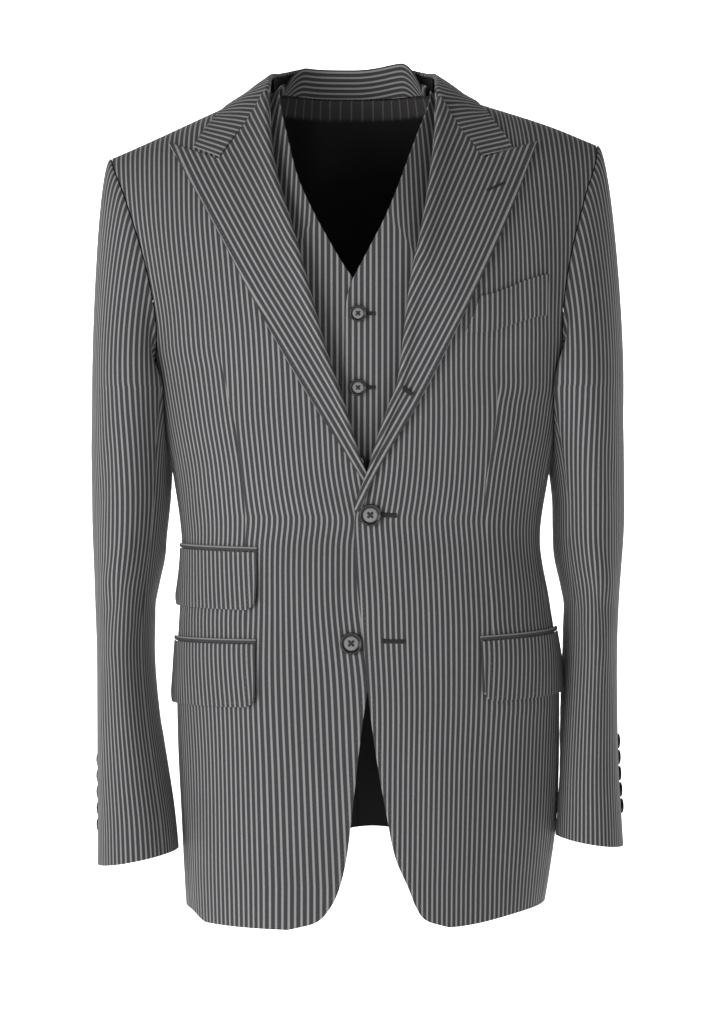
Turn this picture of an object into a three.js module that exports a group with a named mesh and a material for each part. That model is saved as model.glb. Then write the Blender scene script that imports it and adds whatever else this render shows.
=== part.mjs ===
// A tailored suit jacket buttoned over its waistcoat, filled out as if worn, with nothing inside.
// Millimetres, +Z up. The front faces -Y and the wearer's left is +X. The origin is the middle of the
// neck, level with the base of the neck, where a wearer's shoulders carry the suit.
import * as THREE from "three";

// ---- Cloth ----
const CLOTH = 1.8; // canvassed jacket cloth with its lining
const SOFT = 1.5; // waistcoat cloth
const SEAM = 0.3; // gap between two sewn pieces
const LAY = 0.8; // gap under a piece that lies on a panel

// ---- The body that the jacket is cut for: half widths and half depths of its rings ----
const RINGS = [
  { z: 60, right: 246, left: 239, front: 106, back: 92 },
  { z: -50, right: 243, left: 236, front: 112, back: 98 },
  { z: -100, right: 233, left: 229, front: 117, back: 105 },
  { z: -150, right: 216, left: 216, front: 121, back: 109 },
  { z: -200, right: 199, left: 203, front: 122, back: 109 },
  { z: -243, right: 187, left: 193, front: 120, back: 106 },
  { z: -300, right: 175, left: 182, front: 115, back: 97 },
  { z: -345, right: 166, left: 173, front: 111, back: 91 },
  { z: -400, right: 159, left: 166, front: 108, back: 88 },
  { z: -455, right: 161, left: 175, front: 110, back: 93 },
  { z: -510, right: 164, left: 183, front: 114, back: 101 },
  { z: -580, right: 163, left: 184, front: 118, back: 109 },
  { z: -650, right: 159, left: 181, front: 122, back: 113 },
  { z: -700, right: 156, left: 174, front: 125, back: 115 },
  { z: -745, right: 153, left: 166, front: 127, back: 116 },
];
const SHOULDER = { top: 43.4, slope: 0.415, round: 30, neckRise: 62, neckReach: 62 };
// How much lower or higher each shoulder's end is than that slope, and where it starts to be.
const SHOULDER_END = {
  right: { rise: -5.2, from: 70, over: 150 },
  left: { rise: 7.6, from: 85, over: 110 },
};
const NECK_X = -3.5; // the middle of the neck and shoulders
const ROUND = 2.3; // power of the rings: 2 is an ellipse, more is squarer
const ARCH = { drop: 200, power: 1.4 }; // how the chest and back close over the shoulder

// ---- Jacket cut ----
const ARMPIT = -243;
const HEM = { right: -737.2, left: -735.5 };
const LONGEST = 737.2;
const HEM_TURN = { right: { from: 110, over: 40 }, left: { from: 80, over: 90 } };
// The front edge: roll line, then the buttoned edge, then the rounded quarters. x of each front.
const FRONT_EDGE = [
  { z: 30, right: -80, left: 72 },
  { z: -40, right: -76, left: 68.5 },
  { z: -80, right: -70, left: 64 },
  { z: -125, right: -57.5, left: 57 },
  { z: -180, right: -43, left: 45 },
  { z: -235, right: -28, left: 36 },
  { z: -285, right: -11, left: 22 },
  { z: -335, right: 5, left: 8 },
  { z: -375, right: 22, left: -1 },
  { z: -425, right: 26, left: -1 },
  { z: -490, right: 17, left: 6 },
  { z: -545, right: 7, left: 11 },
  { z: -590, right: 1, left: 17 },
  { z: -635, right: -4, left: 25 },
  { z: -675, right: -9, left: 33 },
  { z: -703, right: -16, left: 45 },
  { z: -720, right: -25, left: 52 },
  { z: -731, right: -37, left: 61 },
  { z: -737.2, right: -60, left: 80 },
];
// Angle of the armhole's edge round the ring, in degrees from the side, at the front and the back.
const ARMHOLE = [
  { z: 60, front: 25, back: 25 },
  { z: -50, front: 25, back: 25 },
  { z: -90, front: 29.5, back: 31 },
  { z: -135, front: 31, back: 34 },
  { z: -180, front: 29.5, back: 33 },
  { z: -212, front: 26, back: 30 },
  { z: -232, front: 21, back: 27 },
  { z: -243, front: 16, back: 24 },
];
const SIDE_FRONT = 16; // degrees from the side to the front seam of the side panel
const SIDE_BACK = -24; // and to its back seam
const BACK_NECK = 9; // height of the neck seam at the centre back
const BACK_HEM = { centre: -672, side: -712 };
const SIDE_HEM = { right: -729, left: -725.5 };
const LAP = 1.3; // how far the fastened fronts part, one over and one under the ring

// ---- Lapels: x and z of the outer edge, from the break up to the peak ----
const LAPEL_EDGE = [
  { v: 0, rightX: 6, rightZ: -346, leftX: 2, leftZ: -374 },
  { v: 0.12, rightX: -12, rightZ: -318, leftX: 26, leftZ: -337 },
  { v: 0.3, rightX: -48, rightZ: -262, leftX: 62, leftZ: -277 },
  { v: 0.5, rightX: -84, rightZ: -199, leftX: 95, leftZ: -208 },
  { v: 0.75, rightX: -126, rightZ: -120, leftX: 129, leftZ: -123 },
  { v: 1, rightX: -169, rightZ: -44, leftX: 161, leftZ: -44 },
];
const NOTCH = { right: { x: -121, z: -63 }, left: { x: 111.5, z: -62 } };
const GORGE_TOP = { right: { x: -79.5, z: -2 }, left: { x: 73, z: -8 } };

// ---- Collar, by share of its length from an end, with x from the middle of the neck. Its inner
// line is the gorge seam on the ring surface, and then the fold, which rises off it. The outer edge
// lies on the ring surface. The left gorge seam is set by leftX and leftY from the right one. ----
const COLLAR = [
  { s: 0, foldX: 117.7, foldY: -65, leftX: -3.2, leftY: -2.4, rise: 0, edgeX: 142.5, edgeRight: -48, edgeLeft: -54 },
  { s: 0.06, foldX: 107, foldY: -59.5, leftX: -2.6, leftY: -2.7, rise: 0, edgeX: 134, edgeRight: -40.5, edgeLeft: -46.5 },
  { s: 0.12, foldX: 92, foldY: -51.5, leftX: -1.9, leftY: -4.1, rise: 0, edgeX: 123, edgeRight: -29.5, edgeLeft: -35.5 },
  { s: 0.18, foldX: 77, foldY: -40, leftX: -1.2, leftY: -5.2, rise: 1, edgeX: 115, edgeRight: -16, edgeLeft: -23 },
  { s: 0.24, foldX: 75.5, foldY: -17, leftX: -0.3, leftY: -2, rise: 4, edgeX: 109, edgeRight: 1, edgeLeft: -1 },
  { s: 0.3, foldX: 75, foldY: 3, leftX: 0, leftY: 0, rise: 8, edgeX: 101, edgeRight: 22, edgeLeft: 22 },
  { s: 0.36, foldX: 68, foldY: 28, leftX: 0, leftY: 0, rise: 13, edgeX: 86, edgeRight: 39, edgeLeft: 39 },
  { s: 0.42, foldX: 52, foldY: 52, leftX: 0, leftY: 0, rise: 21, edgeX: 61, edgeRight: 60, edgeLeft: 60 },
  { s: 0.46, foldX: 30, foldY: 67, leftX: 0, leftY: 0, rise: 26, edgeX: 34, edgeRight: 75, edgeLeft: 75 },
  { s: 0.5, foldX: 0, foldY: 72, leftX: 0, leftY: 0, rise: 28, edgeX: 0, edgeRight: 79, edgeLeft: 79 },
];

// ---- Sleeves: centre, half width (across) and half depth (front to back) of each ring ----
const SLEEVE = [
  { z: -262, right: 201, left: 200, y: 0, wideRight: 39.5, wideLeft: 42, deep: 73 },
  { z: -310, right: 204, left: 206, y: 4, wideRight: 37, wideLeft: 36, deep: 73 },
  { z: -359, right: 205, left: 210, y: 7, wideRight: 35.5, wideLeft: 32.5, deep: 72 },
  { z: -400, right: 207, left: 210.5, y: 8, wideRight: 33, wideLeft: 31.5, deep: 71 },
  { z: -455, right: 210, left: 212.5, y: 6, wideRight: 28, wideLeft: 25.5, deep: 70 },
  { z: -500, right: 210, left: 211.5, y: 1, wideRight: 26, wideLeft: 24.5, deep: 67 },
  { z: -555, right: 207, left: 209.5, y: -8, wideRight: 28, wideLeft: 26, deep: 62 },
  { z: -610, right: 202, left: 208, y: -18, wideRight: 32, wideLeft: 28, deep: 56 },
  { z: -650, right: 198, left: 208, y: -26, wideRight: 35, wideLeft: 30, deep: 52 },
  { z: -692, right: 195.5, left: 208, y: -33, wideRight: 37, wideLeft: 32, deep: 49 },
];
// Hem of each sleeve: lower on its outside, and lower still behind.
const CUFF = { right: { outer: -690, inner: -676 }, left: { outer: -673, inner: -663.5 }, rear: 6 };
const SLEEVE_SEAM = { front: 0.37, backTop: 0.73, backCuff: 0.86 }; // share round from the outside
const HEAD_GAP = 0.6; // between the sleeve head and the edge of the armhole
const BESIDE = 2.4; // the sleeve's inside lies this close to the body
const ROPE = { out: 34, up: 12 }; // how the sleeve head leaves the shoulder seam

// ---- Pockets: x of the front end, angle of the rear end, heights of the flap ----
const POCKETS = [
  { name: "right", front: -88, rear: 176, top: -490, slant: 0, deep: 55 },
  { name: "ticket", front: -87, rear: 172, top: -409.5, slant: 3, deep: 51 },
  { name: "left", front: 108, rear: 4, top: -487.5, slant: 6, deep: 53 },
];
const JETTING = 4.5;
const FLAP_CORNER = 13;
const WELT = { inner: 107, innerLow: 94, outer: 168, top: -188, rise: 24, deep: 31 };

// ---- Waistcoat ----
const INSET = 10; // how far it sits inside the jacket
const SHOULDER_INSET = 2.4; // and where its shoulders carry the jacket's
const VEST_LAP = 1.2;
const VEST_ROWS = 13;
const VEST_SIDE_GAP = 0.03; // half the gap of the side seam, in degrees
const VEST_EDGE = [
  { z: 30, right: -77, left: 72 },
  { z: 0, right: -74, left: 69 },
  { z: -40, right: -65, left: 55 },
  { z: -80, right: -53, left: 39.5 },
  { z: -120, right: -33, left: 21 },
  { z: -155, right: -14, left: 5 },
  { z: -180, right: 2, left: -7 },
  { z: -215, right: 12, left: -11 },
  { z: -300, right: 12, left: -11 },
  { z: -450, right: 12, left: -11 },
  { z: -490, right: 3, left: -2 },
  { z: -510, right: -12, left: 13 },
  { z: -522, right: -34, left: 35 },
];
const VEST_ARMHOLE = [
  { z: 60, front: 56, back: 56 },
  { z: -50, front: 55, back: 55 },
  { z: -120, front: 50, back: 50 },
  { z: -190, front: 43, back: 42 },
  { z: -235, front: 32, back: 30 },
  { z: -262, front: 17, back: 15 },
  { z: -275, front: 0.03, back: 0.03 },
];
const VEST_ARMPIT = -275;
const VEST_HEM = { side: -486, point: -522, back: -478 };
const VEST_NECK = 12; // height of the seam between the back and the neckband
// The neckband's end, and its height there and behind, which the left one's middle stands above.
const BAND = { side: 74.5, low: 5, high: 27, leftCrown: 4.5, lean: 4 };

// ---- Buttons ----
const JACKET_BUTTON = { r: 9.8, thick: 3 };
const SMALL_BUTTON = { r: 7.4, thick: 2.4 };
const CUFF_BUTTON = { r: 6.9, thick: 2.4 };
const SHANK = { r: 1.8, long: 1 };
const FRONT_BUTTONS = [
  { name: "jacket_button_middle", x: 11.5, z: -377, side: "left" },
  { name: "jacket_button_lower", x: -5, z: -489, side: "right" },
];
const VEST_BUTTONS = { x: 1, top: -199, pitch: 64.8, count: 5 };
const CUFF_BUTTONS = { count: 5, above: 34, pitch: 14.4, round: 0.96 };

// ---- Finishes ----
const finish = (color, roughness) => new THREE.MeshStandardMaterial({ color, roughness, metalness: 0 });
const STRIPED_WOOL = finish(0x57575a, 0.85);
const LINING = finish(0x1c1a1c, 0.45);
const HORN = finish(0x2a292b, 0.3);

// ---- Small helpers ----
const lerp = THREE.MathUtils.lerp;
const rad = THREE.MathUtils.degToRad;
const smooth = (t) => THREE.MathUtils.smoothstep(t, 0, 1);

// The named column of a table as a smooth function of its first column, whichever way that runs.
function column(table, name) {
  const key = Object.keys(table[0])[0];
  const rows = table[0][key] <= table[table.length - 1][key] ? table : [...table].reverse();
  const at = rows.map((row) => row[key]);
  const to = rows.map((row) => row[name]);
  const slope = at.map((_, i) => {
    const a = Math.max(i - 1, 0);
    const b = Math.min(i + 1, at.length - 1);
    return (to[b] - to[a]) / (at[b] - at[a]);
  });
  return (x) => {
    const here = THREE.MathUtils.clamp(x, at[0], at[at.length - 1]);
    const i = Math.min(Math.max(at.findIndex((v) => v >= here) - 1, 0), at.length - 2);
    const span = at[i + 1] - at[i];
    const t = (here - at[i]) / span;
    const u = 1 - t;
    return (
      to[i] * (1 + 2 * t) * u * u +
      to[i + 1] * t * t * (3 - 2 * t) +
      span * (slope[i] * t * u * u - slope[i + 1] * t * t * u)
    );
  };
}
const columns = (table, ...names) => Object.fromEntries(names.map((name) => [name, column(table, name)]));

const ring = columns(RINGS, "right", "left", "front", "back");
const frontEdge = columns(FRONT_EDGE, "right", "left");
const armhole = columns(ARMHOLE, "front", "back");
const vestEdge = columns(VEST_EDGE, "right", "left");
const vestArmhole = columns(VEST_ARMHOLE, "front", "back");
const lapelEdge = columns(LAPEL_EDGE, "rightX", "rightZ", "leftX", "leftZ");
const FALL_COLUMNS = ["foldX", "foldY", "leftX", "leftY", "rise", "edgeX", "edgeRight", "edgeLeft"];
const fall = columns(COLLAR, ...FALL_COLUMNS);
const arm = columns(SLEEVE, "right", "left", "y", "wideRight", "wideLeft", "deep");

// ---- The ring surface ----
// Height of the shoulder seam over x: a straight slope that rises into the neck.
function ridge(x) {
  const out = x - NECK_X;
  const slope = SHOULDER.top - SHOULDER.slope * Math.hypot(out, SHOULDER.round);
  const end = SHOULDER_END[out > 0 ? "left" : "right"];
  const rise = end.rise * smooth((Math.abs(out) - end.from) / end.over);
  return slope + rise + SHOULDER.neckRise * Math.exp(-((out / SHOULDER.neckReach) ** 4));
}
// Share of the full depth that is left this far below the shoulder seam, to the power ROUND.
function archShare(x, z) {
  const k = Math.max(0, 1 - Math.max(ridge(x) - z, 0) / ARCH.drop);
  return 1 - k ** ARCH.power;
}
const halfWidth = (x, z) => (x >= 0 ? ring.left(z) : ring.right(z));
const halfDepth = (y, z) => (y <= 0 ? ring.front(z) : ring.back(z));

// Zero on the ring surface, above zero outside it.
function field(x, y, z) {
  const across = (Math.abs(x) / halfWidth(x, z)) ** ROUND;
  return (Math.abs(y) / halfDepth(y, z)) ** ROUND - (1 - across) * archShare(x, z);
}
const STEP = 0.5;
function outward(p) {
  const [x, y, z] = p;
  return new THREE.Vector3(
    field(x + STEP, y, z) - field(x - STEP, y, z),
    field(x, y + STEP, z) - field(x, y - STEP, z),
    field(x, y, z + STEP) - field(x, y, z - STEP),
  ).normalize();
}
// The point of the ring surface at an angle from +X: 90 is the centre front and 270 the centre back.
function onRing(degrees, z) {
  const bent = (share) => Math.sign(share) * Math.abs(share) ** (2 / ROUND);
  const c = bent(Math.cos(rad(degrees)));
  const s = bent(Math.sin(rad(degrees)));
  const x = (c >= 0 ? ring.left(z) : ring.right(z)) * c;
  const depth = s >= 0 ? ring.front(z) : ring.back(z);
  // The front and back halves part by a seam's gap, which shows along the shoulder.
  const parted = (SEAM / 2) * THREE.MathUtils.clamp(8 * s, -1, 1);
  return new THREE.Vector3(x, -depth * s * archShare(x, z) ** (1 / ROUND) - parted, z);
}
// Height of the ring surface over x and y, on the shoulders and round the neck.
function heightOver(x, y) {
  let z = ridge(x);
  for (let i = 0; i < 6; i += 1) {
    const across = 1 - (Math.abs(x) / halfWidth(x, z)) ** ROUND;
    const share = Math.min((Math.abs(y) / halfDepth(y, z)) ** ROUND / across, 0.98);
    z = ridge(x) - ARCH.drop * (1 - (1 - share) ** (1 / ARCH.power));
  }
  return z;
}
const lifted = (p, height) => p.clone().addScaledVector(outward(p), height);
// Angle at which the ring has this x, on its front half.
function angleOf(x, z) {
  const share = THREE.MathUtils.clamp(x / halfWidth(x, z), -1, 1);
  return THREE.MathUtils.radToDeg(Math.acos(Math.sign(share) * Math.abs(share) ** (ROUND / 2)));
}
// A front or back point by x and z, moved out by a height.
const onFront = (x, z, height) => lifted(onRing(angleOf(x, z), z), height);
// The angle, for a side of the body, of one counted from that side.
const sided = (side, degrees) => (side === "left" ? degrees : 180 - degrees);

// A point pushed out until it is this far from the ring surface.
function clearOf(p, height) {
  const q = p.clone();
  for (let i = 0; i < 3; i += 1) {
    const n = outward(q);
    const rise = field(q.x + n.x, q.y + n.y, q.z + n.z) - field(q.x, q.y, q.z);
    const away = field(q.x, q.y, q.z) / rise;
    if (away < height) q.addScaledVector(n, height - away);
  }
  return q;
}

// ---- Solids ----
// A closed wall: the outer points at(u, v) and, under them, the inner points under(u, v).
function wall(across, down, at, under) {
  const width = across + 1;
  const size = width * (down + 1);
  const points = [];
  for (const side of [at, under]) {
    for (let j = 0; j <= down; j += 1) {
      for (let i = 0; i <= across; i += 1) points.push(...side(i / across, j / down));
    }
  }
  const faces = [];
  const quad = (a, b, c, d) => faces.push(a, b, c, a, c, d);
  for (let j = 0; j < down; j += 1) {
    for (let i = 0; i < across; i += 1) {
      const k = j * width + i;
      quad(k, k + 1, k + width + 1, k + width);
      quad(size + k, size + k + width, size + k + width + 1, size + k + 1);
    }
  }
  for (let i = 0; i < across; i += 1) {
    const k = down * width + i;
    quad(i, size + i, size + i + 1, i + 1);
    quad(k, k + 1, size + k + 1, size + k);
  }
  for (let j = 0; j < down; j += 1) {
    const k = j * width;
    const m = k + across;
    quad(k, k + width, size + k + width, size + k);
    quad(m, size + m, size + m + width, m + width);
  }
  return facingOut(points, faces);
}
// A geometry from points and faces, turned round if its volume is negative.
function facingOut(points, faces) {
  const corner = (i) => new THREE.Vector3().fromArray(points, 3 * faces[i]);
  let volume = 0;
  for (let i = 0; i < faces.length; i += 3) volume += corner(i).dot(corner(i + 1).cross(corner(i + 2)));
  if (volume < 0) {
    for (let i = 0; i < faces.length; i += 3) [faces[i], faces[i + 1]] = [faces[i + 1], faces[i]];
  }
  const geometry = new THREE.BufferGeometry();
  geometry.setAttribute("position", new THREE.Float32BufferAttribute(points, 3));
  geometry.setIndex(faces);
  geometry.computeVertexNormals();
  return geometry;
}
// A wall on the ring surface: place(u, v) gives an angle and a height z, and lift how far out it is.
function ringWall(across, down, thick, place, lift = () => 0) {
  const at = (below) => (u, v) => {
    const [degrees, z] = place(u, v);
    return lifted(onRing(degrees, z), lift(u, v) - below);
  };
  return wall(across, down, at(0), at(thick));
}
// A wall on any surface, with its thickness along the surface's own normal, turned to the side given.
function freeWall(across, down, thick, surface, facing) {
  const E = 1e-3;
  const under = (u, v) => {
    const du = surface(Math.min(u + E, 1), v).sub(surface(Math.max(u - E, 0), v));
    const dv = surface(u, Math.min(v + E, 1)).sub(surface(u, Math.max(v - E, 0)));
    return surface(u, v).addScaledVector(du.cross(dv).normalize(), facing * thick);
  };
  return wall(across, down, surface, under);
}

const suit = new THREE.Group();
function add(name, geometry, material) {
  const mesh = new THREE.Mesh(geometry, material.clone());
  mesh.name = name;
  suit.add(mesh);
  return mesh;
}

// ---- Jacket body ----
const ARM_ROWS = { front: 8, back: 6, vest: 6 }; // rows of a panel above the armpit
const LOW_ROWS = 11; // and below it, alike in all panels of the jacket, so that their seams match
const ROW_POWER = 1.7; // crowds the rows towards the shoulder seam
const HEM_POWER = 1.35; // and towards the hem
// Height of row v over x: along the shoulder seam at v 0, level at the armpit, along the hem at v 1.
function rowHeight(x, v, { top, armpit, hem, above, power = ROW_POWER }) {
  if (v <= above) return lerp(top(x), armpit, (v / above) ** power);
  return lerp(armpit, hem(x), lowShare((v - above) / (1 - above)));
}
const lowShare = (t) => 1 - (1 - t) ** HEM_POWER;
// The angle and height at share u of row v, between two edges that are functions of z.
function rowPlace(u, v, from, to, rows) {
  let degrees = 90;
  let z = rows.armpit;
  for (let i = 0; i < 12; i += 1) {
    degrees = lerp(from(z), to(z), u);
    z = rowHeight(onRing(degrees, z).x, v, rows);
  }
  return [degrees, z];
}
// Crowds a front's columns towards its edge.
const crowd = (u) => lerp(u, u * u, 0.45);
const seamAngle = (side, at, gap) => (z) => sided(side, at(z) + gap);
const GAP_DEGREES = 0.1; // half a seam's gap, as an angle

function jacketFront(side) {
  const sign = side === "left" ? 1 : -1;
  const turn = HEM_TURN[side];
  const hem = (x) =>
    lerp(HEM[side], SIDE_HEM[side], smooth((Math.abs(x) - turn.from) / turn.over));
  const above = ARM_ROWS.front / (ARM_ROWS.front + LOW_ROWS);
  const rows = { top: ridge, armpit: ARMPIT, hem, above };
  const inner = (z) => angleOf(frontEdge[side]((z * LONGEST) / -HEM[side]), z);
  const outer = (z) => (z > ARMPIT ? armhole.front(z) : SIDE_FRONT);
  const place = (u, v) =>
    rowPlace(crowd(u), v, inner, seamAngle(side, outer, GAP_DEGREES), rows);
  // The left front lies over the right one, and both come back to the ring away from the edge.
  const lift = (u, v) => {
    const [degrees, z] = place(u, v);
    const near = 1 - smooth((Math.abs(onRing(degrees, z).x) - 25) / 60);
    const low = smooth((-z - 250) / 80);
    return sign * LAP * near * low;
  };
  add(`jacket_front_${side}`, ringWall(9, ARM_ROWS.front + LOW_ROWS, CLOTH, place, lift), STRIPED_WOOL);
}

function jacketSide(side) {
  const place = (u, v) => {
    const dip = 6 * Math.sin(Math.PI * u);
    const z = lerp(ARMPIT, SIDE_HEM[side], lowShare(v)) - (SEAM + dip) * (1 - v) ** 4;
    return [sided(side, lerp(SIDE_FRONT - GAP_DEGREES, SIDE_BACK + GAP_DEGREES, u)), z];
  };
  add(`jacket_side_${side}`, ringWall(4, LOW_ROWS, CLOTH, place), STRIPED_WOOL);
}

const CENTRE_BACK_GAP = 0.02; // half the gap of the centre seam, in degrees
function jacketBack(side) {
  const sign = side === "left" ? 1 : -1;
  const above = ARM_ROWS.back / (ARM_ROWS.back + LOW_ROWS);
  const top = (x) => Math.min(ridge(x), BACK_NECK);
  const hem = (x) => lerp(BACK_HEM.centre, BACK_HEM.side, smooth(Math.abs(x) / 165));
  const centre = () => 270 + sign * CENTRE_BACK_GAP;
  const outer = (z) => (z > ARMPIT ? -armhole.back(z) : SIDE_BACK);
  // Back angles run from 180 to 360, so the left side's are turned by a full circle.
  const edge = (z) => sided(side, outer(z) - GAP_DEGREES) + (side === "left" ? 360 : 0);
  const place = (u, v) => rowPlace(u, v, centre, edge, { top, armpit: ARMPIT, hem, above });
  add(`jacket_back_${side}`, ringWall(8, ARM_ROWS.back + LOW_ROWS, CLOTH, place), STRIPED_WOOL);
}

// ---- Lapels and collar ----
const ROLL = { height: 3.2, reach: 0.16 };
function lapel(side) {
  const sign = side === "left" ? 1 : -1;
  const notch = NOTCH[side];
  const gorge = GORGE_TOP[side];
  const breakZ = lapelEdge[`${side}Z`](0);
  const notchShare = 0.46;
  // The top line: along the gorge seam to the notch, then out to the peak.
  const topLine = (u) =>
    u < notchShare
      ? [lerp(gorge.x, notch.x, u / notchShare), lerp(gorge.z, notch.z, u / notchShare)]
      : [
          lerp(notch.x, lapelEdge[`${side}X`](1), (u - notchShare) / (1 - notchShare)),
          lerp(notch.z, lapelEdge[`${side}Z`](1), (u - notchShare) / (1 - notchShare)),
        ];
  const at = (u, v) => {
    const rollZ = lerp(breakZ, gorge.z, v);
    const rollX = frontEdge[side]((rollZ * LONGEST) / -HEM[side]);
    const [topX, topZ] = topLine(u);
    const straightX = lerp(gorge.x, lapelEdge[`${side}X`](1), u);
    const straightZ = lerp(gorge.z, lapelEdge[`${side}Z`](1), u);
    const bent = smooth((v - 0.55) / 0.45);
    const x = lerp(rollX, lapelEdge[`${side}X`](v), u) + bent * (topX - straightX);
    const z = lerp(rollZ, lapelEdge[`${side}Z`](v), u) + bent * (topZ - straightZ);
    return [x, z];
  };
  const height = (u, v) => {
    const low = side === "left" ? LAP * smooth((1 - v) / 0.3) : 0;
    return CLOTH + LAY + 0.5 * u + low + ROLL.height * Math.exp(-((u / ROLL.reach) ** 2)) * smooth(v / 0.2);
  };
  const FOLD = 1.6; // the fold stands past the edge of the front under it
  const surface = (below) => (u, v) => {
    const [x, z] = at(u, v);
    return onFront(x - sign * FOLD * (1 - u), z - 2.5 * (1 - v) * u, height(u, v) - below);
  };
  const from = 0.03;
  const trimmed = (below) => (u, v) => surface(below)(u, lerp(from, 0.995, v));
  add(`jacket_lapel_${side}`, wall(6, 12, trimmed(0), trimmed(CLOTH)), STRIPED_WOOL);
}

// A point of the collar's fold or outer edge: s runs from the right end over the centre to the left.
function collarPoint(line, s) {
  const right = s <= 0.5;
  const half = right ? s : 1 - s;
  const sign = right ? -1 : 1;
  const inner = line === "fold";
  const across = inner ? fall.foldX(half) + (right ? 0 : fall.leftX(half)) : fall.edgeX(half);
  const foldY = fall.foldY(half) + (right ? 0 : fall.leftY(half));
  const edgeY = (right ? fall.edgeRight : fall.edgeLeft)(half);
  const x = NECK_X + sign * across;
  const y = inner ? foldY : edgeY;
  return new THREE.Vector3(x, y, heightOver(x, y) + (inner ? fall.rise(half) : 0));
}
const FALL_BULGE = 3;
function collar() {
  const surface = (below) => (u, v) => {
    const s = lerp(0.002, 0.998, u);
    const p = collarPoint("fold", s).lerp(collarPoint("edge", s), v);
    const bulge = FALL_BULGE * Math.sin(Math.PI * v);
    return clearOf(lifted(p, bulge), CLOTH + LAY + 1.2).addScaledVector(outward(p), -below);
  };
  add("jacket_collar_fall", wall(28, 3, surface(0), surface(CLOTH)), STRIPED_WOOL);
  const STAND_FROM = 0.31;
  const STAND_IN = 2.3; // the stand is inside the fall's fold
  const stand = (u, v) => {
    const s = lerp(STAND_FROM, 1 - STAND_FROM, u);
    const top = collarPoint("fold", s);
    const inward = new THREE.Vector3(top.x, top.y * 1.3, 0).normalize();
    const foot = BACK_NECK + 1;
    return top.setZ(lerp(foot, top.z - 3.5, v)).addScaledVector(inward, -STAND_IN);
  };
  add("jacket_collar_stand", freeWall(14, 2, CLOTH * 0.8, stand, 1), LINING);
}

// ---- Sleeves ----
// The armhole as a loop of evenly spaced points: crown, front, armpit, back.
function armholeLoop(side) {
  const dense = [];
  const crown = sided(side, armhole.front(-50));
  const crownZ = ridge(onRing(crown, -50).x);
  const STEPS = 40;
  for (let i = 0; i <= STEPS; i += 1) {
    const z = lerp(crownZ, ARMPIT, (i / STEPS) ** ROW_POWER);
    dense.push(onRing(sided(side, armhole.front(z)), z));
  }
  for (let i = 1; i < STEPS; i += 1) {
    const dip = 6 * Math.sin((Math.PI * i) / STEPS);
    dense.push(onRing(sided(side, lerp(SIDE_FRONT, SIDE_BACK, i / STEPS)), ARMPIT - dip));
  }
  for (let i = STEPS; i >= 0; i -= 1) {
    const z = lerp(crownZ, ARMPIT, (i / STEPS) ** ROW_POWER);
    dense.push(onRing(sided(side, -armhole.back(z)), z));
  }
  const curve = new THREE.CatmullRomCurve3(dense, true, "centripetal");
  curve.arcLengthDivisions = 600;
  return (share) => curve.getPointAt(share - Math.floor(share));
}

function cuffHeight(side, share) {
  const outside = (1 + Math.cos(2 * Math.PI * share)) / 2;
  const behind = Math.max(0, -Math.sin(2 * Math.PI * share));
  return lerp(CUFF[side].inner, CUFF[side].outer, outside) - CUFF.rear * behind;
}
const HEAD_SHARE = 0.3; // share of a sleeve's rows from the armhole to the first ring
function sleeveSurface(side) {
  const sign = side === "left" ? 1 : -1;
  const loop = armholeLoop(side);
  const first = SLEEVE[0].z;
  const wide = side === "left" ? arm.wideLeft : arm.wideRight;
  const ringPoint = (share, z) => {
    const angle = 2 * Math.PI * share;
    const x = arm[side](z) + wide(z) * Math.cos(angle);
    return new THREE.Vector3(sign * x, arm.y(z) - arm.deep(z) * Math.sin(angle), z);
  };
  return (share, v) => {
    if (v > HEAD_SHARE) {
      const z = lerp(first, cuffHeight(side, share), (v - HEAD_SHARE) / (1 - HEAD_SHARE));
      return clearOf(ringPoint(share, z), BESIDE);
    }
    // From the armhole a curve leaves outwards and comes down on the first ring.
    const t = v / HEAD_SHARE;
    const crown = (1 + Math.cos(2 * Math.PI * share)) / 2;
    const start = loop(share).add(new THREE.Vector3(sign * HEAD_GAP, 0, 0));
    const end = ringPoint(share, first);
    const out = new THREE.Vector3(sign * ROPE.out, 0, ROPE.up * crown ** 3 - 10 * (1 - crown));
    out.y = -12 * Math.sin(2 * Math.PI * share);
    const down = ringPoint(share, first - 1).sub(end).setLength(start.distanceTo(end) * 0.9);
    const h = [(1 + 2 * t) * (1 - t) ** 2, t * (1 - t) ** 2, t * t * (3 - 2 * t), t * t * (t - 1)];
    start
      .multiplyScalar(h[0])
      .addScaledVector(out, h[1])
      .addScaledVector(end, h[2])
      .addScaledVector(down, h[3]);
    // The crown stands out beyond the shoulder's end, so only the sides are kept clear of the body.
    const aside = smooth((1 - crown) / 0.06);
    return start.lerp(clearOf(start, lerp(SEAM, BESIDE, smooth(t * 4))), aside);
  };
}
const backSeam = (v) => lerp(SLEEVE_SEAM.backTop, SLEEVE_SEAM.backCuff, v);
const SEAM_SHARE = 0.0006; // half a seam's gap round the sleeve
function sleeve(side) {
  const surface = sleeveSurface(side);
  const facing = side === "left" ? -1 : 1;
  const top = (u, v) => surface(lerp(backSeam(v) - 1 + SEAM_SHARE, SLEEVE_SEAM.front - SEAM_SHARE, u), v);
  const under = (u, v) => surface(lerp(SLEEVE_SEAM.front + SEAM_SHARE, backSeam(v) - SEAM_SHARE, u), v);
  add(`jacket_sleeve_top_${side}`, freeWall(11, 14, CLOTH, top, facing), STRIPED_WOOL);
  add(`jacket_sleeve_under_${side}`, freeWall(6, 14, CLOTH, under, facing), STRIPED_WOOL);
}

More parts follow.
